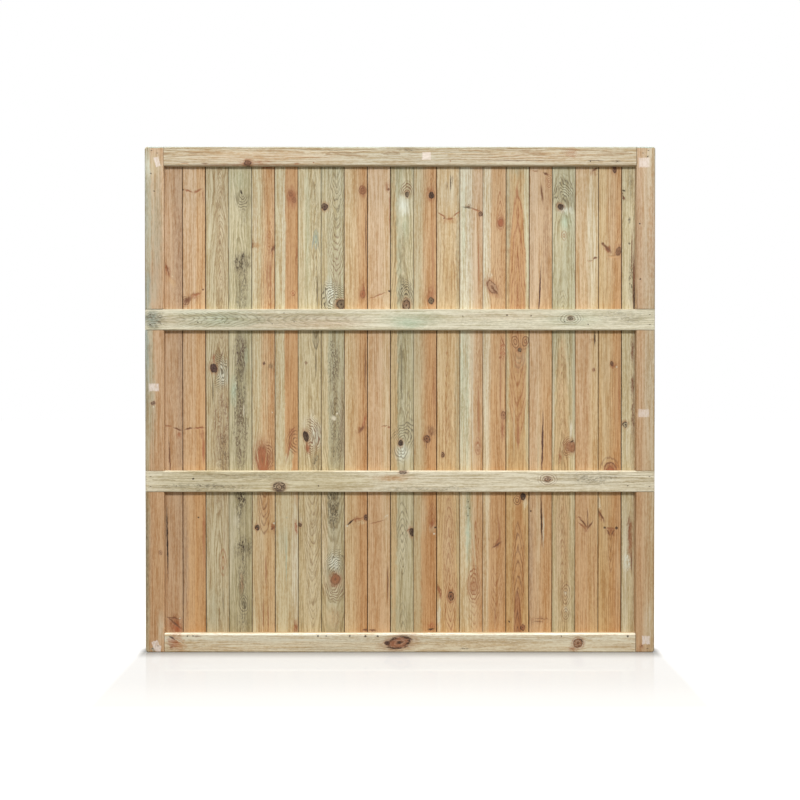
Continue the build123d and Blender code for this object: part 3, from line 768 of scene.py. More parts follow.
            smear(28, 1738, 14, 5.5, "brown", 0.9, 34), patch(22, 1728, 14, 14, "rust", 0.6),
            smear(30, 1418, 10, 5.5, "brown", 0.95, 22), smear(12, 1408, 14, 2.6, "rust", 0.6, 8),
            crack(28, 1130, 36, 3.4, "dark", 0.9), patch(20, 1126, 16, 12, "rust", 0.4),
            knot(26, 1016, 3.6, 5, "rust", 0.9, 0, 0.5, 1.0, "brown"),
            patch(30, 300, 14, 300, "orange", 1.0), crack(4, 494, 24, 3.0, "brown", 0.8),
            crack(-12, 464, 28, 3.8, "brown", 1.0, 38), crack(-18, 454, 22, 3.0, "rust", 1.0, 44),
            crack(14, 456, 22, 3.8, "brown", 1.0, -34), crack(5, 462, 24, 3.2, "brown", 1.0),
            smear(-26, 482, 12, 3.0, "rust", 0.9, -10), patch(0, 448, 18, 16, "rust", 0.6),
            patch(16, 300, 20, 200, "orange", 0.3)]),
    # Straw, with orange resin and one large red knot
    Figure(
        "straw", "orange", heart_radius=84, pith=(80, 40), taper=6, wander=4, ring=7, rings=0.45,
        edge=26, foot=0.8, marks=[
            patch(-12, 1000, 22, 800, "cream", 0.6), patch(4, 1560, 26, 240, "pink", 0.6),
            knot(16, 1738, 7, 13, "brown", 1.0, 0, 0.9),
            crack(-12, 1456, 30, 7.0, "brown", 1.0, 45), patch(-10, 1452, 20, 12, "rust", 1.0, -45),
            speck(-26, 1470, 5, "brown"), knot(32, 1444, 9, 16, "brown", 0.9, -24, 0.8, 0.6),
            smear(12, 1424, 24, 7.0, "orange", 1.0, 0), flame(30, 1490, 9, 40, "orange", 0.5, 1, 3),
            patch(14, 1030, 16, 14, "rust", 0.9), knot(8, 1038, 5, 8, "brown", 1.0, 0, 0.7),
            speck(24, 1026, 4, "milk"), crack(24, 900, 170, 8.0, "orange", 0.9),
            crack(33, 950, 150, 3.0, "rust", 0.7), patch(4, 664, 28, 26, "rust", 0.8),
            arcs(0, 655, 50, 38, "brown", 1.0, 90, 3, True),
            knot(2, 650, 16, 16, "red", 1.0, 0, 0.8, 0.5, "brown"),
            patch(30, 300, 14, 300, "honey", 0.8), cover(-37, 533, 6, 28, "milk", 0.9, 16),
            patch(-30, 487, 9, 30, "rust", 0.9, 27), crack(-30, 490, 32, 4.6, "brown", 1.0, 27),
            speck(-17, 445, 5.0), speck(25, 445, 5.0), smear(4, 443, 22, 4.6, "rust", 1.0),
            patch(4, 432, 22, 14, "rust", 0.9), crack(-4, 428, 16, 3.0, "brown", 0.9, 30),
            crack(12, 428, 16, 3.0, "brown", 0.9, -30),
            flame(4, 350, 12, 80, "orange", 0.6, -1, 4, "brown")]),
    # Pale, split along its middle, with one green knot
    Figure(
        "pale", "olive", heart_radius=44, pith=(30, 30), taper=10, wander=7, ring=5, rings=0.6,
        cool=0.4, foot=0.3, marks=[
            # Painted shade: the stain and brown covers down its right edge, beside the stile.
            cover(9, 1200, 9, 600, "stain", 0.35), cover(9, 400, 8, 300, "brown", 0.25),
            patch(-36, 1640, 7, 26, "brown", 1.0, 24), smear(-34, 1662, 8, 4.0, "dark", 0.9, -30),
            mottle(-10, 1690, 10, 60, "stain", 0.5), patch(-14, 1556, 6, 14, "stain", 1.0),
            speck(-14, 1470, 4.5, "stain"), crack(-4, 1440, 110, 3.4, "brown", 0.8),
            crack(3, 1330, 150, 5.0, "brown", 1.0), crack(4, 1270, 80, 3.4, "dark", 1.0),
            mottle(-6, 1340, 12, 110, "stain", 0.8), patch(-8, 1250, 14, 60, "milk", 0.5),
            patch(-2, 1080, 8, 60, "brown", 0.9), patch(-2, 960, 9, 46, "brown", 1.0),
            patch(0, 850, 6, 90, "brown", 0.8), knot(-28, 819, 9, 10, "green", 1.0, 0, 0.6),
            speck(-26, 819, 3.5, "dark"), patch(-14, 800, 12, 14, "milk", 0.8),
            patch(-22, 740, 9, 60, "milk", 0.6), patch(-12, 430, 9, 76, "brown", 1.0),
            patch(-9, 400, 12, 100, "rust", 0.8), crack(-4, 320, 50, 4.0, "brown", 0.8),
            mottle(-20, 320, 16, 34, "frost", 0.9), patch(-26, 300, 14, 300, "milk", 0.7)]),
]

# How dark the painted shade and grime are in each joint between the boards, from the left.
JOINT_SHADE_AND_GRIME = (0.85, 1.00, 0.42, 0.70, 0.85, 0.66, 0.60, 0.78, 1.00, 0.95,
              0.42, 0.98, 0.62, 0.50, 0.80, 0.95, 0.65, 0.50, 0.78, 0.98)

STILE_FIGURES = {
    "stile_left": Figure(
        "grey", "rose", heart_radius=82, pith=(62, 40), taper=10, wander=5, ring=6, rings=0.4,
        edge=7, foot=0.7, marks=[
            # Painted shade: the slate edge at the top end.
            edge(0, 60, "slate", 1.0, 1815, 5), cover(-24, 1010, 20, 310, "grey", 0.95),
            cover(-28, 1560, 20, 300, "grey", 1.0), patch(8, 1540, 28, 280, "grey", 0.8),
            patch(4, 1440, 26, 230, "brown", 0.14), patch(-4, 900, 12, 260, "grey", 0.6),
            patch(2, 1340, 24, 80, "brown", 0.1), patch(-20, 1310, 14, 80, "slate", 0.6),
            patch(0, 1745, 34, 50, "pale", 0.5), patch(-30, 340, 9, 350, "stain", 0.62),
            patch(-31, 960, 8, 50, "milk", 0.6), patch(-19, 1075, 8, 50, "stain", 0.3),
            patch(-26, 1735, 14, 60, "frost", 0.8), patch(-2, 1300, 16, 60, "grey", 0.5),
            patch(-17, 360, 7, 200, "brown", 0.2), patch(-18, 1070, 9, 50, "brown", 0.2),
            patch(-30, 1100, 13, 330, "slate", 0.9), patch(-28, 1600, 10, 220, "slate", 0.5),
            label(11, 1760, 9, 17, 1.0, 14), label(-2, 953, 18, 14, 0.95),
            label(4, 26, 12, 16, 0.9, 24), label(12, 14, 9, 12, 0.9, -10),
            patch(-6, 8, 14, 12, "slate", 0.8), knot(-5, 897, 7, 6, "brown", 0.9),
            speck(-4, 884, 3, "milk"), patch(14, 300, 26, 330, "orange", 0.45),
            patch(8, 600, 22, 260, "orange", 0.2), patch(20, 90, 14, 70, "milk", 0.5),
            crack(-1, 1500, 190, 2.4, "cream", 0.5), speck(-12, 1718, 3), speck(0, 1655, 2.5),
            speck(26, 640, 3), knot(20, 360, 6, 8, "rust", 0.6)]),
    "stile_right": Figure(
        "fawn", "rose", heart_radius=152, edge=34, pith=(-150, 40), taper=2, wander=4, ring=6,
        rings=0.35, foot=0.7, marks=[
            # Painted shade: the slate top end, and the stain edges on both long arrises.
            edge(0, 60, "slate", 1.0, 1815, 5), label(-6, 1758, 20, 17, 0.9),
            label(-6, 860, 19, 14, 0.75), label(4, 44, 14, 15, 0.95),
            patch(22, 1500, 22, 290, "rose", 0.8), patch(27, 1500, 9, 290, "brown", 0.18),
            patch(-28, 1470, 10, 290, "brown", 0.16), patch(8, 1370, 34, 160, "brown", 0.12),
            patch(16, 110, 22, 90, "milk", 0.6), edge(34, 3.6, "stain", 0.4),
            edge(-33, 3, "stain", 0.3), speck(6, 1779, 3), speck(-22, 1540, 3), speck(-20, 1340, 3),
            crack(-30, 1250, 90, 1.6, "brown", 0.5), patch(-14, 18, 12, 14, "rust", 0.7),
            patch(10, 1000, 20, 200, "grey", 0.4)]),
}

RAIL_FIGURES = {
    "rail_top": Figure(
        "fawn", "fawn", heart_radius=64, pith=(10, 46), taper=8, wander=6, ring=5, rings=0.7,
        foot=0, marks=[
            # Painted shade: the slate and grey edges along the top arris.
            patch(0, 0, 60, 930, "slate", 0.16), edge(34, 3.6, "slate", 1.0),
            edge(28, 3, "grey", 0.5), patch(0, -500, 30, 400, "pink", 0.6),
            patch(0, 500, 30, 400, "pink", 0.4), crack(-31, -560, 250, 3.0, "rust", 0.6),
            patch(-22, -548, 14, 26, "rust", 0.85), knot(-25, -546, 9, 13, "brown", 0.85, 0, 0.8),
            patch(-22, -500, 8, 40, "rust", 0.6), mottle(24, 34, 9, 48, "stain", 0.8),
            crack(-17, 415, 165, 1.6, "brown", 0.8), arcs(12, 614, 22, 26, "rust", 0.6, 0, 4),
            patch(12, 614, 18, 18, "rust", 0.4), crack(-17, 700, 40, 2.0, "dark", 0.8),
            mottle(-18, 772, 5, 20, "dark", 0.9), label(0, 95, 14, 16, 0.9), speck(-18, 680, 2.5),
            smear(-27, -370, 12, 4.0, "rust", 0.8, 90), speck(-24, -310, 3, "rust"),
            speck(-18, 180, 2.5, "rust"), smear(-26, -770, 22, 3.0, "rust", 0.6, 90),
            smear(-27, -700, 16, 3.4, "brown", 0.7, 90), crack(12, 230, 120, 1.8, "olive", 0.5),
            crack(20, -200, 180, 1.8, "olive", 0.5)]),
    "rail_bottom": Figure(
        "cream", "cream", heart_radius=44, pith=(-10, 40), taper=6, wander=6, ring=6, rings=0.45,
        foot=0, marks=[
            # Painted highlight: the narrow band on the top arris.
            edge(18, 12, "milk", 0.8), edge(31, 4.2, "bare", 1.0), edge(-8, 28, "milk", 0.5),
            patch(4, -808, 34, 30, "red", 0.9, -24), patch(-4, -790, 40, 20, "orange", 0.8, -24),
            patch(-14, -824, 16, 14, "rust", 0.8), crack(18, -820, 18, 5.0, "dark", 0.85, 30),
            crack(8, -796, 24, 3.0, "milk", 0.7, 30), smear(22, -730, 16, 4.0, "brown", 0.6, 90),
            knot(2, -2, 20, 42, "red", 0.95, -14, 0.75), knot(0, -46, 7, 9, "plum", 0.95, 0, 0.9),
            patch(2, -36, 12, 16, "milk", 0.5), knot(0, 640, 14, 15, "rust", 0.95, -30, 0.6),
            arcs(0, 640, 26, 24, "rust", 0.7, -30, 3), patch(-22, 622, 12, 20, "rust", 0.7),
            speck(24, -765), speck(24, -745), speck(24, -295, 3.5), speck(24, -265),
            speck(24, -180, 4), speck(24, -125, 4), speck(24, -80, 3.5), speck(24, 580),
            speck(24, 820, 4), mottle(-20, 230, 3.5, 18, "dark", 0.9),
            patch(10, 0, 16, 900, "fawn", 0.6), patch(-6, 250, 24, 200, "straw", 0.3),
            patch(-20, -250, 12, 200, "grey", 0.4)]),
    "rail_upper_middle": Figure(
        "chalk", "chalk", heart_radius=44, pith=(0, 30), taper=10, wander=7, ring=4.8, rings=0.6,
        cool=0.8, foot=0, marks=[
            # Painted shade: the grey edge along the top arris.
            cover(-4, -500, 30, 400, "fawn", 0.7), edge(37, 3.2, "grey", 1.0),
            patch(0, -890, 40, 34, "slate", 1.0), mottle(0, -880, 36, 50, "stain", 0.8),
            flame(2, -560, 30, 90, "teal", 0.6, 1, 7, "stain", 0.4),
            flame(2, -690, 30, 90, "teal", 0.6, 1, 7, "stain", 0.4),
            flame(2, -420, 28, 100, "chalk", 0.45, -1, 7, "stain", 0.2),
            flame(4, -250, 26, 110, "chalk", 0.35, -1, 6, "brown", 0.1),
            patch(0, -640, 30, 110, "teal", 0.5), mottle(0, -480, 34, 330, "stain", 0.22),
            mottle(-4, 300, 34, 500, "stain", 0.16), patch(-14, 30, 24, 62, "teal", 1.0),
            patch(0, 40, 34, 120, "teal", 0.6), knot(4, 612, 6, 9, "stain", 0.9, 0, 0.8),
            arcs(4, 612, 26, 50, "stain", 0.6, 0, 5), patch(0, 620, 34, 120, "teal", 0.4),
            speck(-10, -725), speck(-12, -631, 2), speck(-16, -458, 2), speck(24, -415, 2),
            speck(-8, -378, 2), speck(12, 225), speck(15, 383), speck(13, 470), speck(-8, 592),
            speck(-18, 676), patch(-18, -300, 20, 200, "pink", 0.5),
            patch(14, 380, 20, 220, "pink", 0.3), mottle(8, 800, 26, 100, "stain", 0.4)]),
    "rail_lower_middle": Figure(
        "milk", "milk", heart_radius=44, pith=(6, 32), taper=12, wander=8, ring=4.8, rings=0.75,
        cool=0.6, foot=0, marks=[
            knot(-20, -434, 15, 18, "pink", 0.95, 0, 0.5),
            arcs(-20, -434, 22, 26, "dark", 0.85, 0, 2), patch(12, -25, 14, 82, "orange", 0.75),
            knot(34, 10, 8, 12, "plum", 0.9), knot(8, 530, 8, 10, "rust", 0.8),
            arcs(8, 530, 26, 40, "brown", 0.6, 0, 4), cover(0, -500, 60, 400, "pale", 0.8),
            mottle(-20, -700, 14, 180, "stain", 0.7), mottle(20, -500, 12, 240, "stain", 0.4),
            mottle(-26, 100, 10, 200, "stain", 0.5), mottle(12, 690, 26, 120, "stain", 0.55),
            speck(-16, -803), speck(-16, -718), speck(10, -742, 3.5), speck(-16, -294),
            speck(-17, 195, 3, "milk"), speck(-16, 818), patch(0, 300, 36, 260, "olive", 0.2),
            patch(0, -700, 40, 180, "grey", 0.3)]),
}


# The patterns that every piece is drawn from

@dataclass
class Pattern:
    """A noise: its cycles a millimetre across the grain, along it and through the panel."""

    across: float
    along: float
    through: float = 0.0
    detail: float = 3.0
    roughness: float = 0.65
    shift: float = 0.0


STIR = Pattern(0.09, 0.045)
JITTER = Pattern(0.07, 0.014, 0.05, detail=4.0)
SWAY = Pattern(0.05, 0.015, detail=1.0, roughness=0.5, shift=4.0)
BAND = Pattern(0.045, 0.0010, detail=2.0, roughness=0.5, shift=9.0)
STREAK = Pattern(0.15, 0.0018, 0.11)
FIBRE = Pattern(0.185, 0.0062, 0.55, roughness=0.7)
SPECKLE = Pattern(0.19, 0.055, 0.3, roughness=0.75)
GRIT = Pattern(0.31, 0.10, 0.3, detail=2.0, roughness=0.7)

# How far places are stirred across and along before a mark is drawn, in millimetres.
NEAR, LOOSE, CLOSE = (7.0, 12.0), (20.0, 60.0), (3.5, 7.0)

# Where each kind of mark ends and where it is whole, in its half sizes.
SOFTNESS = {
    "cover": (1.15, 0.75),
    "edge": (1.3, 0.7),
    "patch": (1.25, 0.1),
    "mottle": (1.25, 0.35),
    "crack": (1.1, 0.25),
    "speck": (1.35, 0.5),
    "label": (1.15, 0.8),
}

# How speckled each kind of mark is: what the speckle adds, and what is there without it.
BROKEN = {"mottle": (0.85, 0.15), "patch": (0.6, 0.65), "label": (0.8, 0.45)}

# What pale and deep streaks and late wood multiply a colour by, in warm timber and in cool.
PALE_SHADES = (1.12, 1.18, 1.25), (1.14, 1.15, 1.18)
DEEP_SHADES = (0.82, 0.70, 0.55), (0.76, 0.75, 0.66)
LATE_SHADES = (0.57, 0.43, 0.30), (0.55, 0.55, 0.47)

# What a colour is multiplied by at the ground, which fades to nothing at this height.
FOOT_SHADE = (0.945, 0.77, 0.57, 1.0)
FOOT_FADE_TOP = 1850.0

# Places in millimetres. Depths are from the middle of the panel's depth, and what is drawn on the
# railed face alone comes in between the two railed depths.
MIDDLE_HEIGHT = 900.0
BOARD_FACE = 6.0
RAILED_FROM, RAILED_TO = -8.0, -14.0
TONGUE = 7.0

# Where a joint's painted shade and grime begin and are whole, from a board's centreline, and how
# far they spread.
JOINT_FROM, JOINT_TO = 40.1, 40.7
JOINT_SPREAD = 0.9

# How far fibres, late wood and knots stand out, and cracks go in, as shares of the relief.
FIBRE_RELIEF, LATE_RELIEF, KNOT_RELIEF, CRACK_RELIEF = 0.5, 0.4, 0.4, 2.0

# Planed timber is matt, and its fibres make it rougher.
TIMBER_ROUGHNESS = 0.58
FIBRE_ROUGHNESS = 0.2
TIMBER_SPECULAR = 0.3

# Each piece's patterns start this far from the last one's.
SEED_STEP = 7.3
STILE_SEED = 31
RAIL_SEED = 41


def shade_of(shades, cool):
    """A multiplying colour from the warm one to the cool one."""
    return (*(first + (last - first) * cool for first, last in zip(*shades)), 1.0)


class Timber(Graph):
    """A piece's own material: growth rings in the round, knots that pass through, and marks."""

    def __init__(self, name, figure, centre, upright, seed, scene):
        super().__init__(bpy.data.materials.new(name))
        self.figure = figure
        self.seed = seed
        self.grain = scene.fence_grain
        tones = scene.fence_tones
        self.tones = {tone: linear(getattr(tones, tone)) for tone in FenceTones.__annotations__}
        x, y, z = self.place()
        self.height = z / MM
        self.deep = y / MM
        self.across = ((x if upright else z) - centre) / MM
        self.along = self.height if upright else x / MM
        self.taper_from = MIDDLE_HEIGHT if upright else 0.0
        self.flat = self.vector(self.across, self.along, 0.0)
        stir = self.pattern(STIR, self.across, "Color")
        self.stir = self.add(
            "ShaderNodeVectorMath", {"operation": "SUBTRACT"}, {0: stir, 1: (0.5, 0.5, 0.5)})
        self.near, self.loose, self.close = map(self.stirred, (NEAR, LOOSE, CLOSE))
        self.jitter = self.pattern(JITTER, self.across)
        self.sway = self.pattern(SWAY, self.across)
        self.speckle = self.pattern(SPECKLE, self.across).between(0.32, 0.68)
        self.grit = self.pattern(GRIT, self.across).between(0.42, 0.60)
        self.grit = self.grit * (self.jitter.between(0.40, 0.56) * 0.85 + 0.35)

    def pattern(self, kind, across, output=0):
        """One of the patterns above, at so many millimetres across."""
        through = self.deep * kind.through + self.seed if kind.through else self.seed + kind.shift
        place = self.vector(across * kind.across, self.along * kind.along, through)
        return self.noise(place, kind.detail, kind.roughness, output)

    def stirred(self, reach):
        """The place on the piece, moved about so far across and along."""
        inputs = {0: self.stir, 1: (*reach, 0.0), 2: self.flat}
        return self.add("ShaderNodeVectorMath", {"operation": "MULTIPLY_ADD"}, inputs)

    def spot_of(self, place, mark):
        """The place from a mark's centre, and its distance, in the mark's half sizes."""
        centre, half = (mark.across, mark.along), (mark.half_across, mark.half_along)
        return self.spot(place, centre, half, mark.lean)

    def lay_knot(self, colour, mark):
        """Lays a knot over the colour: a warm halo, its own rings, and a dark broken rim."""
        speckle = self.speckle
        reach = self.spot_of(self.near, mark)[1]
        reach = reach + (self.jitter - 0.5) * 0.9 + (speckle - 0.5) * 0.2
        halo = reach.between(2.3, 0.9) * (speckle * 0.5 + 0.25) * mark.strength
        colour = self.mix(halo, colour, self.tones["rust"])
        body = reach.between(1.15, 0.88)
        fill = body * (speckle * 0.4 + 0.75) * mark.fill * mark.strength
        colour = self.mix(fill, colour, self.tones[mark.tone])
        rings = (reach * 13.0).sine() * 0.5 + 0.5
        core = reach.between(0.45, 0.15) * 0.6
        rim = abs(reach - 0.98).between(0.28, 0.04) * speckle.between(0.0, 0.5)
        for drawn in (body * (rings * 0.4 + core), rim):
            colour = self.mix(drawn * (mark.strength * mark.lines), colour, self.tones[mark.ink])
        return colour, body

    def lay_arcs(self, colour, mark):
        """Lays nested rings of grain over the colour."""
        local, reach = self.spot_of(self.close, mark)
        share = reach.between(1.1, 0.7)
        if mark.fill:
            share = share * self.parts(local)[0].between(-0.2, 0.25)
        lines = (reach + (self.sway - 0.5) * 0.5) * mark.lines + self.speckle * 0.12
        lines = lines.fraction()
        line = lines.between(0.35, 0.78) * lines.between(1.0, 0.84) * share
        drawn = line * (self.speckle * 0.3 + 0.85) * mark.strength
        return self.mix(drawn, colour, self.tones[mark.tone])

    def lay_flame(self, colour, mark):
        """Lays nested peaks of grain over the colour, in a tone of their own."""
        side, up, _ = self.parts(self.spot_of(self.close, mark)[0])
        bend = side * side * 0.2 + (side * side + 0.03).root() * 0.28
        peak = bend + (up + 1.0) * 0.5
        peak = peak + (self.sway - 0.5) * 0.28 + (self.speckle - 0.5) * 0.02
        share = peak.between(1.03, 0.95) * up.between(-1.6, -0.7) * abs(side).between(1.15, 0.85)
        colour = self.mix(share * (mark.strength * mark.fill), colour, self.tones[mark.tone])
        lines = (peak * mark.lines).fraction()
        line = lines.between(0.48, 0.88) * lines.between(1.0, 0.90) * share
        drawn = line * (self.speckle * 0.5 + 0.5) * mark.strength
        return self.mix(drawn, colour, self.tones[mark.ink]), share

    def lay_mark(self, colour, mark, place, speckle):
        """Lays a cover, edge, patch, mottle, crack, speck or torn label over the colour."""
        local, reach = self.spot_of(place, mark)
        if mark.kind == "label":
            side, end, _ = self.parts(local)
            reach = abs(side).most(abs(end))
        share = reach.between(*SOFTNESS[mark.kind])
        if mark.kind in BROKEN:
            gain, least = BROKEN[mark.kind]
            share = share * (speckle * gain + least)
        return self.mix(share * mark.strength, colour, self.tones[mark.tone]), share

    def round_knots(self):
        """The distance across, with the grain pushed aside at each knot."""
        shifted = self.across
        for mark in self.figure.marks:
            if mark.kind == "knot":
                half = (mark.half_across * 2.2, mark.half_along * 2.6)
                local, reach = self.spot(self.flat, (mark.across, mark.along), half)
                side = self.parts(local)[0]
                shifted = shifted - side * reach.between(1.3, 0.0) * (1.7 * mark.half_across)
        return shifted

    def growth(self, shifted):
        """The distance from the pith, and the dark late wood of each year's ring."""
        figure = self.figure
        drift = self.vector(self.along * 0.0024, self.seed * 1.7, 0.0)
        drift = self.parts(self.noise(drift, 2.0, 0.5, "Color"))
        pith_across = figure.pith[0] + (drift[0] - 0.5) * (figure.wander * 2.5)
        behind = figure.pith[1] + (self.along - self.taper_from) * (figure.taper * MM)
        behind = behind + (drift[1] - 0.5) * (figure.wander * 5.0)
        side = shifted - pith_across
        back = self.deep - BOARD_FACE + behind
        radius = (side * side + back * back).root() + (self.jitter - 0.5) * (figure.ring * 1.7)
        count = radius / figure.ring
        late = count.fraction()
        late = late.between(0.30, 0.88) * late.between(1.0, 0.92)
        year = self.noise(self.vector(count * 0.55, self.seed * 3.1, self.along * 0.004), 1.0, 0.5)
        return radius, late * year.between(0.30, 0.60)

    def finish(self, joints):
        """Ends the tree in the whole surface, from the plain wood to the painted shade
        and grime in its joints.
        """
        figure, grain, speckle = self.figure, self.grain, self.speckle
        shifted = self.round_knots()
        radius, late = self.growth(shifted)
        band = self.pattern(BAND, shifted).between(0.32, 0.68)
        streak = self.pattern(STREAK, shifted)
        fibre = self.pattern(FIBRE, shifted).between(0.30, 0.70)
        railed = self.deep.between(RAILED_FROM, RAILED_TO)

        edges = figure.heart_radius + figure.edge, figure.heart_radius - figure.edge
        share = (radius + (streak - 0.5) * 10.0).between(*edges)
        colour = self.mix(share, self.tones[figure.sap], self.tones[figure.heart])
        for mark in figure.marks:
            if mark.kind == "cover":
                colour, _ = self.lay_mark(colour, mark, self.loose, speckle)
            elif mark.kind == "edge":
                toned, _ = self.lay_mark(colour, mark, self.flat, speckle)
                colour = self.mix(railed, colour, toned)
        if figure.foot:
            foot = self.height.between(FOOT_FADE_TOP, 0.0) * (figure.foot * grain.foot_warmth)
            colour = self.mix(foot, colour, self.shaded(colour, FOOT_SHADE))
        for mark in sorted(figure.marks, key=lambda mark: mark.kind == "flame"):
            if mark.kind == "patch":
                colour, _ = self.lay_mark(colour, mark, self.loose, speckle)
            elif mark.kind == "flame":
                colour, share = self.lay_flame(colour, mark)
                late = late - late * share * mark.fill

        depth = (band - 0.5) * (grain.band_contrast * figure.bands)
        depth = depth + (streak.between(0.28, 0.72) - 0.5) * grain.streak_contrast
        depth = depth + (fibre - 0.5) * grain.fibre_contrast
        depth = depth + (speckle - 0.5) * grain.fleck_contrast + 0.35
        pale = self.shaded(colour, shade_of(PALE_SHADES, figure.cool))
        colour = self.mix(depth, pale, self.shaded(colour, shade_of(DEEP_SHADES, figure.cool)))
        dark = self.shaded(colour, shade_of(LATE_SHADES, figure.cool))
        colour = self.mix(late * figure.rings, colour, dark)

        relief = fibre * FIBRE_RELIEF + late * LATE_RELIEF
        for mark in sorted(figure.marks, key=lambda mark: mark.kind != "mottle"):
            if mark.kind == "knot":
                colour, body = self.lay_knot(colour, mark)
                relief = relief + body * KNOT_RELIEF
            elif mark.kind == "arcs":
                colour = self.lay_arcs(colour, mark)
            elif mark.kind == "mottle":
                colour, _ = self.lay_mark(colour, mark, self.loose, self.grit)
            elif mark.kind == "label":
                toned, _ = self.lay_mark(colour, mark, self.near, speckle)
                colour = self.mix(railed, colour, toned)
            elif mark.kind in ("crack", "speck"):
                colour, cut = self.lay_mark(colour, mark, self.near, speckle)
                relief = relief - cut * CRACK_RELIEF
        # Painted shade, mixed with grime, darkens each board's edges at its joints.
        for shade_and_grime, outward in zip(joints, (self.across * -1.0, self.across)):
            if shade_and_grime:
                rim = outward.between(JOINT_FROM - JOINT_SPREAD * shade_and_grime, JOINT_TO)
                rim = rim * (speckle * 0.3 + 0.85)
                colour = self.mix(rim * shade_and_grime, colour, self.tones["soil"])
        roughness = TIMBER_ROUGHNESS + fibre * FIBRE_ROUGHNESS
        return self.surface(colour, roughness, relief, grain.relief, TIMBER_SPECULAR)


def dress(name, figure, centre, upright, seed, joints=(0.0, 0.0)):
    """Gives a timber piece of the frame its own material."""
    seed = seed * SEED_STEP
    timber = Timber(f"{name}_timber", figure, centre, upright, seed, bpy.context.scene)
    material = timber.finish(joints)
    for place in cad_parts[name].material_slots:
        place.material = material


# The pattern of the wire's dulled coat, in cycles a metre, and its depth in metres. Rust comes in
# between two of the pattern's levels, which are lower on a rustier wire.
BLOOM_SCALE = 900.0
BLOOM_DEPTH = 0.0001
RUST_FROM, RUST_TO = 0.62, 0.75
RUST_SPREAD = 0.3
DULL_ZINC = (0.40, 0.38, 0.36)
WIRE_RUST = (0.25, 0.14, 0.09)


def worn_zinc(name, rust_share):
    """Zinc-coated wire that has dulled and begun to rust."""
    graph = Graph(bpy.data.materials.new(name))
    place = graph.vector(*(part * BLOOM_SCALE for part in graph.place()))
    bloom = graph.noise(place, 3.0, 0.6)
    lower = rust_share * RUST_SPREAD
    rust = bloom.between(RUST_FROM - lower, RUST_TO - lower)
    colour = graph.mix(rust, linear(DULL_ZINC), linear(WIRE_RUST))
    roughness, metallic = 0.45 + rust * 0.4, 0.8 - rust * 0.7
    return graph.surface(colour, roughness, bloom, BLOOM_DEPTH, 0.5, metallic)


# Nails and pins

def solids_of(node):
    """The lowest and highest corner of each solid in a node, from low to high places."""
    mesh = bmesh.new()
    mesh.from_mesh(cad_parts[node].data)
    bmesh.ops.remove_doubles(mesh, verts=mesh.verts, dist=1e-6)
    left = set(mesh.verts)
    boxes = []
    while left:
        found, ends = set(), [left.pop()]
        while ends:
            vertex = ends.pop()
            found.add(vertex)
            beside = {link.other_vert(vertex) for link in vertex.link_edges} & left
            left -= beside
            ends.extend(beside)
        places = [vertex.co for vertex in found]
        low = Vector(min(place[axis] for place in places) for axis in range(3))
        high = Vector(max(place[axis] for place in places) for axis in range(3))
        boxes.append((low, high))
    mesh.free()
    return sorted(boxes, key=lambda box: (round(box[0].z, 4), round(box[0].x, 4)))


class Shaping(Graph):
    """A geometry node tree with named inputs, written in the same way as the materials."""

    def __init__(self, name, sizes):
        self.tree = bpy.data.node_groups.new(name, "GeometryNodeTree")
        sockets = self.tree.interface
        sockets.new_socket("Geometry", in_out="INPUT", socket_type="NodeSocketGeometry")
        self.names = {}
        for size, kind in sizes.items():
            socket = sockets.new_socket(size, in_out="INPUT", socket_type=kind)
            self.names[size] = socket.identifier
        sockets.new_socket("Geometry", in_out="OUTPUT", socket_type="NodeSocketGeometry")
        self.inputs = self.tree.nodes.new("NodeGroupInput")

    def given(self, name):
        return Value(self, self.inputs.outputs[name])


def fixing_tree(sizes):
    """Stands a wire fixing at each point: a head, a flat shank and a chisel point, along +Y."""
    kinds = {**dict.fromkeys(sizes, "NodeSocketFloat"), "Finish": "NodeSocketMaterial"}
    nodes = Shaping("driven_fixings", kinds)

    def bar(width, start, stop):
        """A flat bar between two depths."""
        size = nodes.vector(width, stop - start, nodes.given("Thickness"))
        cube = nodes.add("GeometryNodeMeshCube", None, {"Size": size})
        place = nodes.vector(0.0, (start + stop) * 0.5, 0.0)
        inputs = {"Geometry": cube, "Translation": place}
        return nodes.add("GeometryNodeTransform", None, inputs)

    sink = nodes.given("Sink")
    neck = sink + nodes.given("Head Depth")
    tip = nodes.given("Length")
    head = bar(nodes.given("Head Width"), sink, neck)
    shank = bar(nodes.given("Shank Width"), neck, tip)
    x, y, z = nodes.parts(nodes.add("GeometryNodeInputPosition"))
    inputs = {0: y, 1: tip - nodes.given("Point")}
    past = nodes.add("FunctionNodeCompare", {"operation": "GREATER_THAN"}, inputs)
    inputs = {"Geometry": shank, "Selection": past, "Position": nodes.vector(x * 0.02, y, z)}
    shank = nodes.add("GeometryNodeSetPosition", None, inputs)
    joined = nodes.add("GeometryNodeJoinGeometry", None, {"Geometry": [head, shank]})
    turn = nodes.vector(0.0, 0.0, nodes.given("Turn"))
    inputs = {"Points": nodes.given("Geometry"), "Instance": joined, "Rotation": turn}
    placed = nodes.add("GeometryNodeInstanceOnPoints", None, inputs)
    solid = nodes.add("GeometryNodeRealizeInstances", None, {"Geometry": placed})
    inputs = {"Geometry": solid, "Material": nodes.given("Finish")}
    nodes.add("NodeGroupOutput", None, {0: nodes.add("GeometryNodeSetMaterial", None, inputs)})
    return nodes


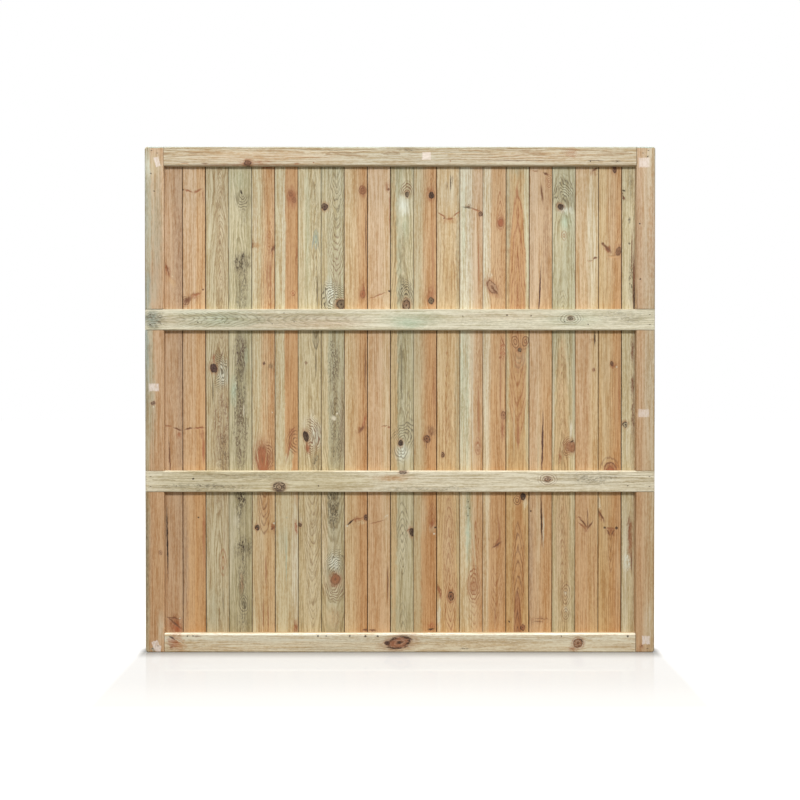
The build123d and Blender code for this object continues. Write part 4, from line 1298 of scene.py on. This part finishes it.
def driven(name, node, material, sizes):
    """Builds every fixing of one node from the node tree, in place of the plain solids."""
    nodes = fixing_tree(sizes)
    from_front = sizes["Turn"] != 0.0
    points = []
    for low, high in solids_of(node):
        start = high.y if from_front else low.y
        points.append(((low.x + high.x) / 2, start, (low.z + high.z) / 2))
    mesh = bpy.data.meshes.new(name + "_points")
    mesh.from_pydata(points, [], [])
    carrier = bpy.data.objects.new(name + "_points", mesh)
    bpy.context.scene.collection.objects.link(carrier)
    modifier = carrier.modifiers.new("fixings", "NODES")
    modifier.node_group = nodes.tree
    for size, value in {**sizes, "Finish": material}.items():
        modifier[nodes.names[size]] = value
    bpy.context.view_layer.update()
    evaluated = carrier.evaluated_get(bpy.context.evaluated_depsgraph_get())
    solid = bpy.data.meshes.new_from_object(evaluated)
    solid.name = name
    piece = bpy.data.objects.new(name, solid)
    bpy.context.scene.collection.objects.link(piece)
    bpy.data.objects.remove(carrier)
    if not solid.polygons:
        raise RuntimeError(f"{name} has no faces")
    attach(piece, BODY)
    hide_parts(node)


# Stage

# Metres. The floor's reflection of the panel reaches this far towards the camera.
FLOOR_HALF = 30.0
REFLECTION_REACH = 0.95
REFLECTION_SHARE = 0.14

# The floor's glow under the panel, what it gains between two distances from it, and what it gains
# beyond the panel and the reflection. The low glow near the panel is painted shade at its foot,
# over the real shadow. A distance to the side counts four times.
FLOOR_COLOUR = (0.25, 0.238, 0.215, 1.0)
FLOOR_GLOW = 0.09
FLOOR_GAINS = ((-0.02, 0.12, 0.26), (0.0, 0.13, 0.266), (0.45, 0.8, 0.05))
OUTSIDE_GAIN = 0.35
SIDE_WEIGHT = 4.0 ** 2

# Each lamp's place, the point that it looks at, and its width and height.
LAMPS = {
    "key": ((0.0, -6.0, 3.9), (0.0, 0.0, 0.9), (3.2, 1.0)),
    "rear": ((0.0, 6.0, 3.2), (0.0, 0.0, 0.9), (3.2, 1.0)),
    "overhead": ((0.0, -0.3, 4.2), (0.0, -0.1, 0.9), (3.0, 0.6)),
}


def floor_material(half_width, half_depth):
    """A white floor with the panel's shadow and painted shade at its foot, and a reflection
    that fades to the camera.
    """
    graph = Graph(bpy.data.materials.new("studio_floor"))
    x, y, _ = graph.place()
    past_side = (abs(x) - half_width).most(0.0)
    past_face = (abs(y) - half_depth).most(0.0)
    distance = (past_side * past_side * SIDE_WEIGHT + past_face * past_face).root()
    # The glow is lowest near the panel: painted shade at its foot.
    level = FLOOR_GLOW
    for start, stop, gain in FLOOR_GAINS:
        level = level + distance.between(start, stop) * gain
    reach = y + REFLECTION_REACH
    outside = past_side.between(0.0, 0.05).most((y - half_depth).between(0.0, 0.05))
    level = level + outside.most(reach.between(0.1, 0.0)) * OUTSIDE_GAIN
    diffuse = graph.add("ShaderNodeBsdfDiffuse", None, {"Color": FLOOR_COLOUR})
    glow = {"Color": WHITE, "Strength": graph.seen() * level}
    glow = graph.add("ShaderNodeEmission", None, glow)
    lit = graph.add("ShaderNodeAddShader", None, {0: diffuse, 1: glow})
    gloss = graph.add("ShaderNodeBsdfGlossy", None, {"Color": WHITE, "Roughness": 0.03})
    camera = graph.add("ShaderNodeLightPath", output="Is Camera Ray")
    share = reach.between(0.0, REFLECTION_REACH) * REFLECTION_SHARE * camera
    shader = graph.add("ShaderNodeMixShader", None, {0: share, 1: lit, 2: gloss})
    graph.add("ShaderNodeOutputMaterial", None, {"Surface": shader})
    return graph.owner


def lit_world(strength):
    """An even white sky that the camera and any gloss see as plain white."""
    world = bpy.data.worlds.new("studio")
    bpy.context.scene.world = world
    graph = Graph(world)
    inputs = {"Factor": graph.seen(), "A": strength, "B": 1.0}
    level = graph.add("ShaderNodeMix", None, inputs, "Result")
    sky = graph.add("ShaderNodeBackground", None, {"Color": WHITE, "Strength": level})
    graph.add("ShaderNodeOutputWorld", None, {"Surface": sky})


def soft_lamp(name, place, target, size, energy):
    """A large soft lamp that looks at a point."""
    lamp = bpy.data.lights.new(name, "AREA")
    lamp.shape = "RECTANGLE"
    lamp.size, lamp.size_y = size
    lamp.energy = energy
    holder = bpy.data.objects.new(name, lamp)
    holder.location = place
    holder.rotation_euler = (Vector(target) - Vector(place)).to_track_quat("-Z", "Y").to_euler()
    bpy.context.scene.collection.objects.link(holder)


# Operators

class FencePiece:
    """What the operators share."""

    bl_options = {"REGISTER", "UNDO"}


class FENCE_OT_boards(FencePiece, bpy.types.Operator):
    """Gives each board its own figure"""

    bl_idname = "fence.boards"
    bl_label = "Boards"

    def execute(self, context):
        names = [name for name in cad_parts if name.startswith("board_")]
        names = sorted(name for name in names if name[-1].isdigit())
        if len(names) != len(BOARD_FIGURES):
            raise RuntimeError("the frame and the figures differ in their number of boards")
        shade_and_grime = (0.0, *JOINT_SHADE_AND_GRIME, 0.0)
        for place, (name, figure) in enumerate(zip(names, BOARD_FIGURES)):
            low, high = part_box(name)
            centre = (low.x + TONGUE * MM + high.x) / 2
            dress(name, figure, centre, True, place, (shade_and_grime[place], shade_and_grime[place + 1]))
        return {"FINISHED"}


class FENCE_OT_stiles(FencePiece, bpy.types.Operator):
    """Gives the stiles their figure"""

    bl_idname = "fence.stiles"
    bl_label = "Stiles"

    def execute(self, context):
        for seed, (name, figure) in enumerate(STILE_FIGURES.items(), start=STILE_SEED):
            low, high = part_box(name)
            dress(name, figure, (low.x + high.x) / 2, True, seed)
        return {"FINISHED"}


class FENCE_OT_rails(FencePiece, bpy.types.Operator):
    """Gives the top, bottom and middle rails their figure"""

    bl_idname = "fence.rails"
    bl_label = "Rails"

    def execute(self, context):
        for seed, (name, figure) in enumerate(RAIL_FIGURES.items(), start=RAIL_SEED):
            low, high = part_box(name)
            dress(name, figure, (low.z + high.z) / 2, False, seed)
        return {"FINISHED"}


class FENCE_OT_nails(FencePiece, bpy.types.Operator):
    """Makes the T-headed nails of the frame's joints"""

    bl_idname = "fence.nails"
    bl_label = "Nails"

    def execute(self, context):
        fixings = context.scene.fence_fixings
        material = worn_zinc("nail_zinc", 0.9)
        nodes = {"corner_joint_nails": "corner_nails", "middle_rail_nails": "rail_nails"}
        for name, node in nodes.items():
            low, high = solids_of(node)[0]
            sizes = {
                "Head Width": high.x - low.x,
                "Head Depth": fixings.nail_head,
                "Shank Width": fixings.nail_shank,
                "Thickness": high.z - low.z,
                "Length": high.y - low.y,
                "Point": fixings.nail_point,
                "Sink": fixings.nail_sink,
                "Turn": 0.0,
            }
            driven(name, node, material, sizes)
        return {"FINISHED"}


class FENCE_OT_pins(FencePiece, bpy.types.Operator):
    """Makes the pins that hold the boards to the rails"""

    bl_idname = "fence.pins"
    bl_label = "Pins"

    def execute(self, context):
        fixings = context.scene.fence_fixings
        low, high = solids_of("board_pins")[0]
        sizes = {
            "Head Width": high.x - low.x,
            "Head Depth": fixings.pin_head,
            "Shank Width": high.x - low.x,
            "Thickness": high.z - low.z,
            "Length": high.y - low.y,
            "Point": fixings.pin_point,
            "Sink": fixings.pin_sink,
            "Turn": math.pi,
        }
        driven("board_fixing_pins", "board_pins", worn_zinc("pin_zinc", 0.3), sizes)
        return {"FINISHED"}


class FENCE_OT_stage(FencePiece, bpy.types.Operator):
    """Sets the floor, the light and the camera"""

    bl_idname = "fence.stage"
    bl_label = "Stage"

    def execute(self, context):
        scene = context.scene
        settings = scene.fence_stage
        low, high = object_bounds()
        middle = (low + high) / 2
        mesh = bpy.data.meshes.new("floor")
        signs = ((-1, -1), (1, -1), (1, 1), (-1, 1))
        corners = [(x * FLOOR_HALF, y * FLOOR_HALF, low.z) for x, y in signs]
        mesh.from_pydata(corners, [], [(0, 1, 2, 3)])
        floor = bpy.data.objects.new("floor", mesh)
        scene.collection.objects.link(floor)
        floor.data.materials.append(floor_material(high.x, high.y))
        floor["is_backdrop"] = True
        lit_world(settings.ambient)
        for name, (place, target, size) in LAMPS.items():
            soft_lamp(name, place, target, size, getattr(settings, name))
        camera = bpy.data.cameras.new("camera")
        camera.lens = settings.lens
        camera.sensor_width = 36.0
        holder = bpy.data.objects.new("camera", camera)
        rise = settings.distance * math.tan(settings.pitch)
        holder.location = (middle.x, low.y - settings.distance, middle.z + rise)
        holder.rotation_euler = (math.pi / 2 - settings.pitch, 0.0, 0.0)
        scene.collection.objects.link(holder)
        scene.camera = holder
        scene.view_settings.view_transform = "Standard"
        return {"FINISHED"}


class FENCE_PT_pieces(bpy.types.Panel):
    """Lists the fence panel's pieces and settings"""

    bl_label = "Fence Panel"
    bl_idname = "FENCE_PT_pieces"
    bl_space_type = "VIEW_3D"
    bl_region_type = "UI"
    bl_category = "Fence"

    def draw(self, context):
        for operator in OPERATORS:
            self.layout.operator(operator.bl_idname)
        for group in GROUPS:
            settings = getattr(context.scene, group)
            for name in type(settings).__annotations__:
                self.layout.prop(settings, name)


OPERATORS = (
    FENCE_OT_boards,
    FENCE_OT_stiles,
    FENCE_OT_rails,
    FENCE_OT_nails,
    FENCE_OT_pins,
    FENCE_OT_stage,
)
GROUPS = {
    "fence_tones": FenceTones,
    "fence_grain": FenceGrain,
    "fence_fixings": FenceFixings,
    "fence_stage": FenceStage,
}


def register():
    for kind in (*GROUPS.values(), *OPERATORS, FENCE_PT_pieces):
        bpy.utils.register_class(kind)
    for name, group in GROUPS.items():
        setattr(bpy.types.Scene, name, bpy.props.PointerProperty(type=group))


def unregister():
    for name in GROUPS:
        delattr(bpy.types.Scene, name)
    for kind in reversed((*GROUPS.values(), *OPERATORS, FENCE_PT_pieces)):
        bpy.utils.unregister_class(kind)


def main():
    register()
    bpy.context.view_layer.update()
    bpy.ops.fence.boards()
    bpy.ops.fence.stiles()
    bpy.ops.fence.rails()
    bpy.ops.fence.nails()
    bpy.ops.fence.pins()
    bpy.ops.fence.stage()


if __name__ == "__main__":
    main()
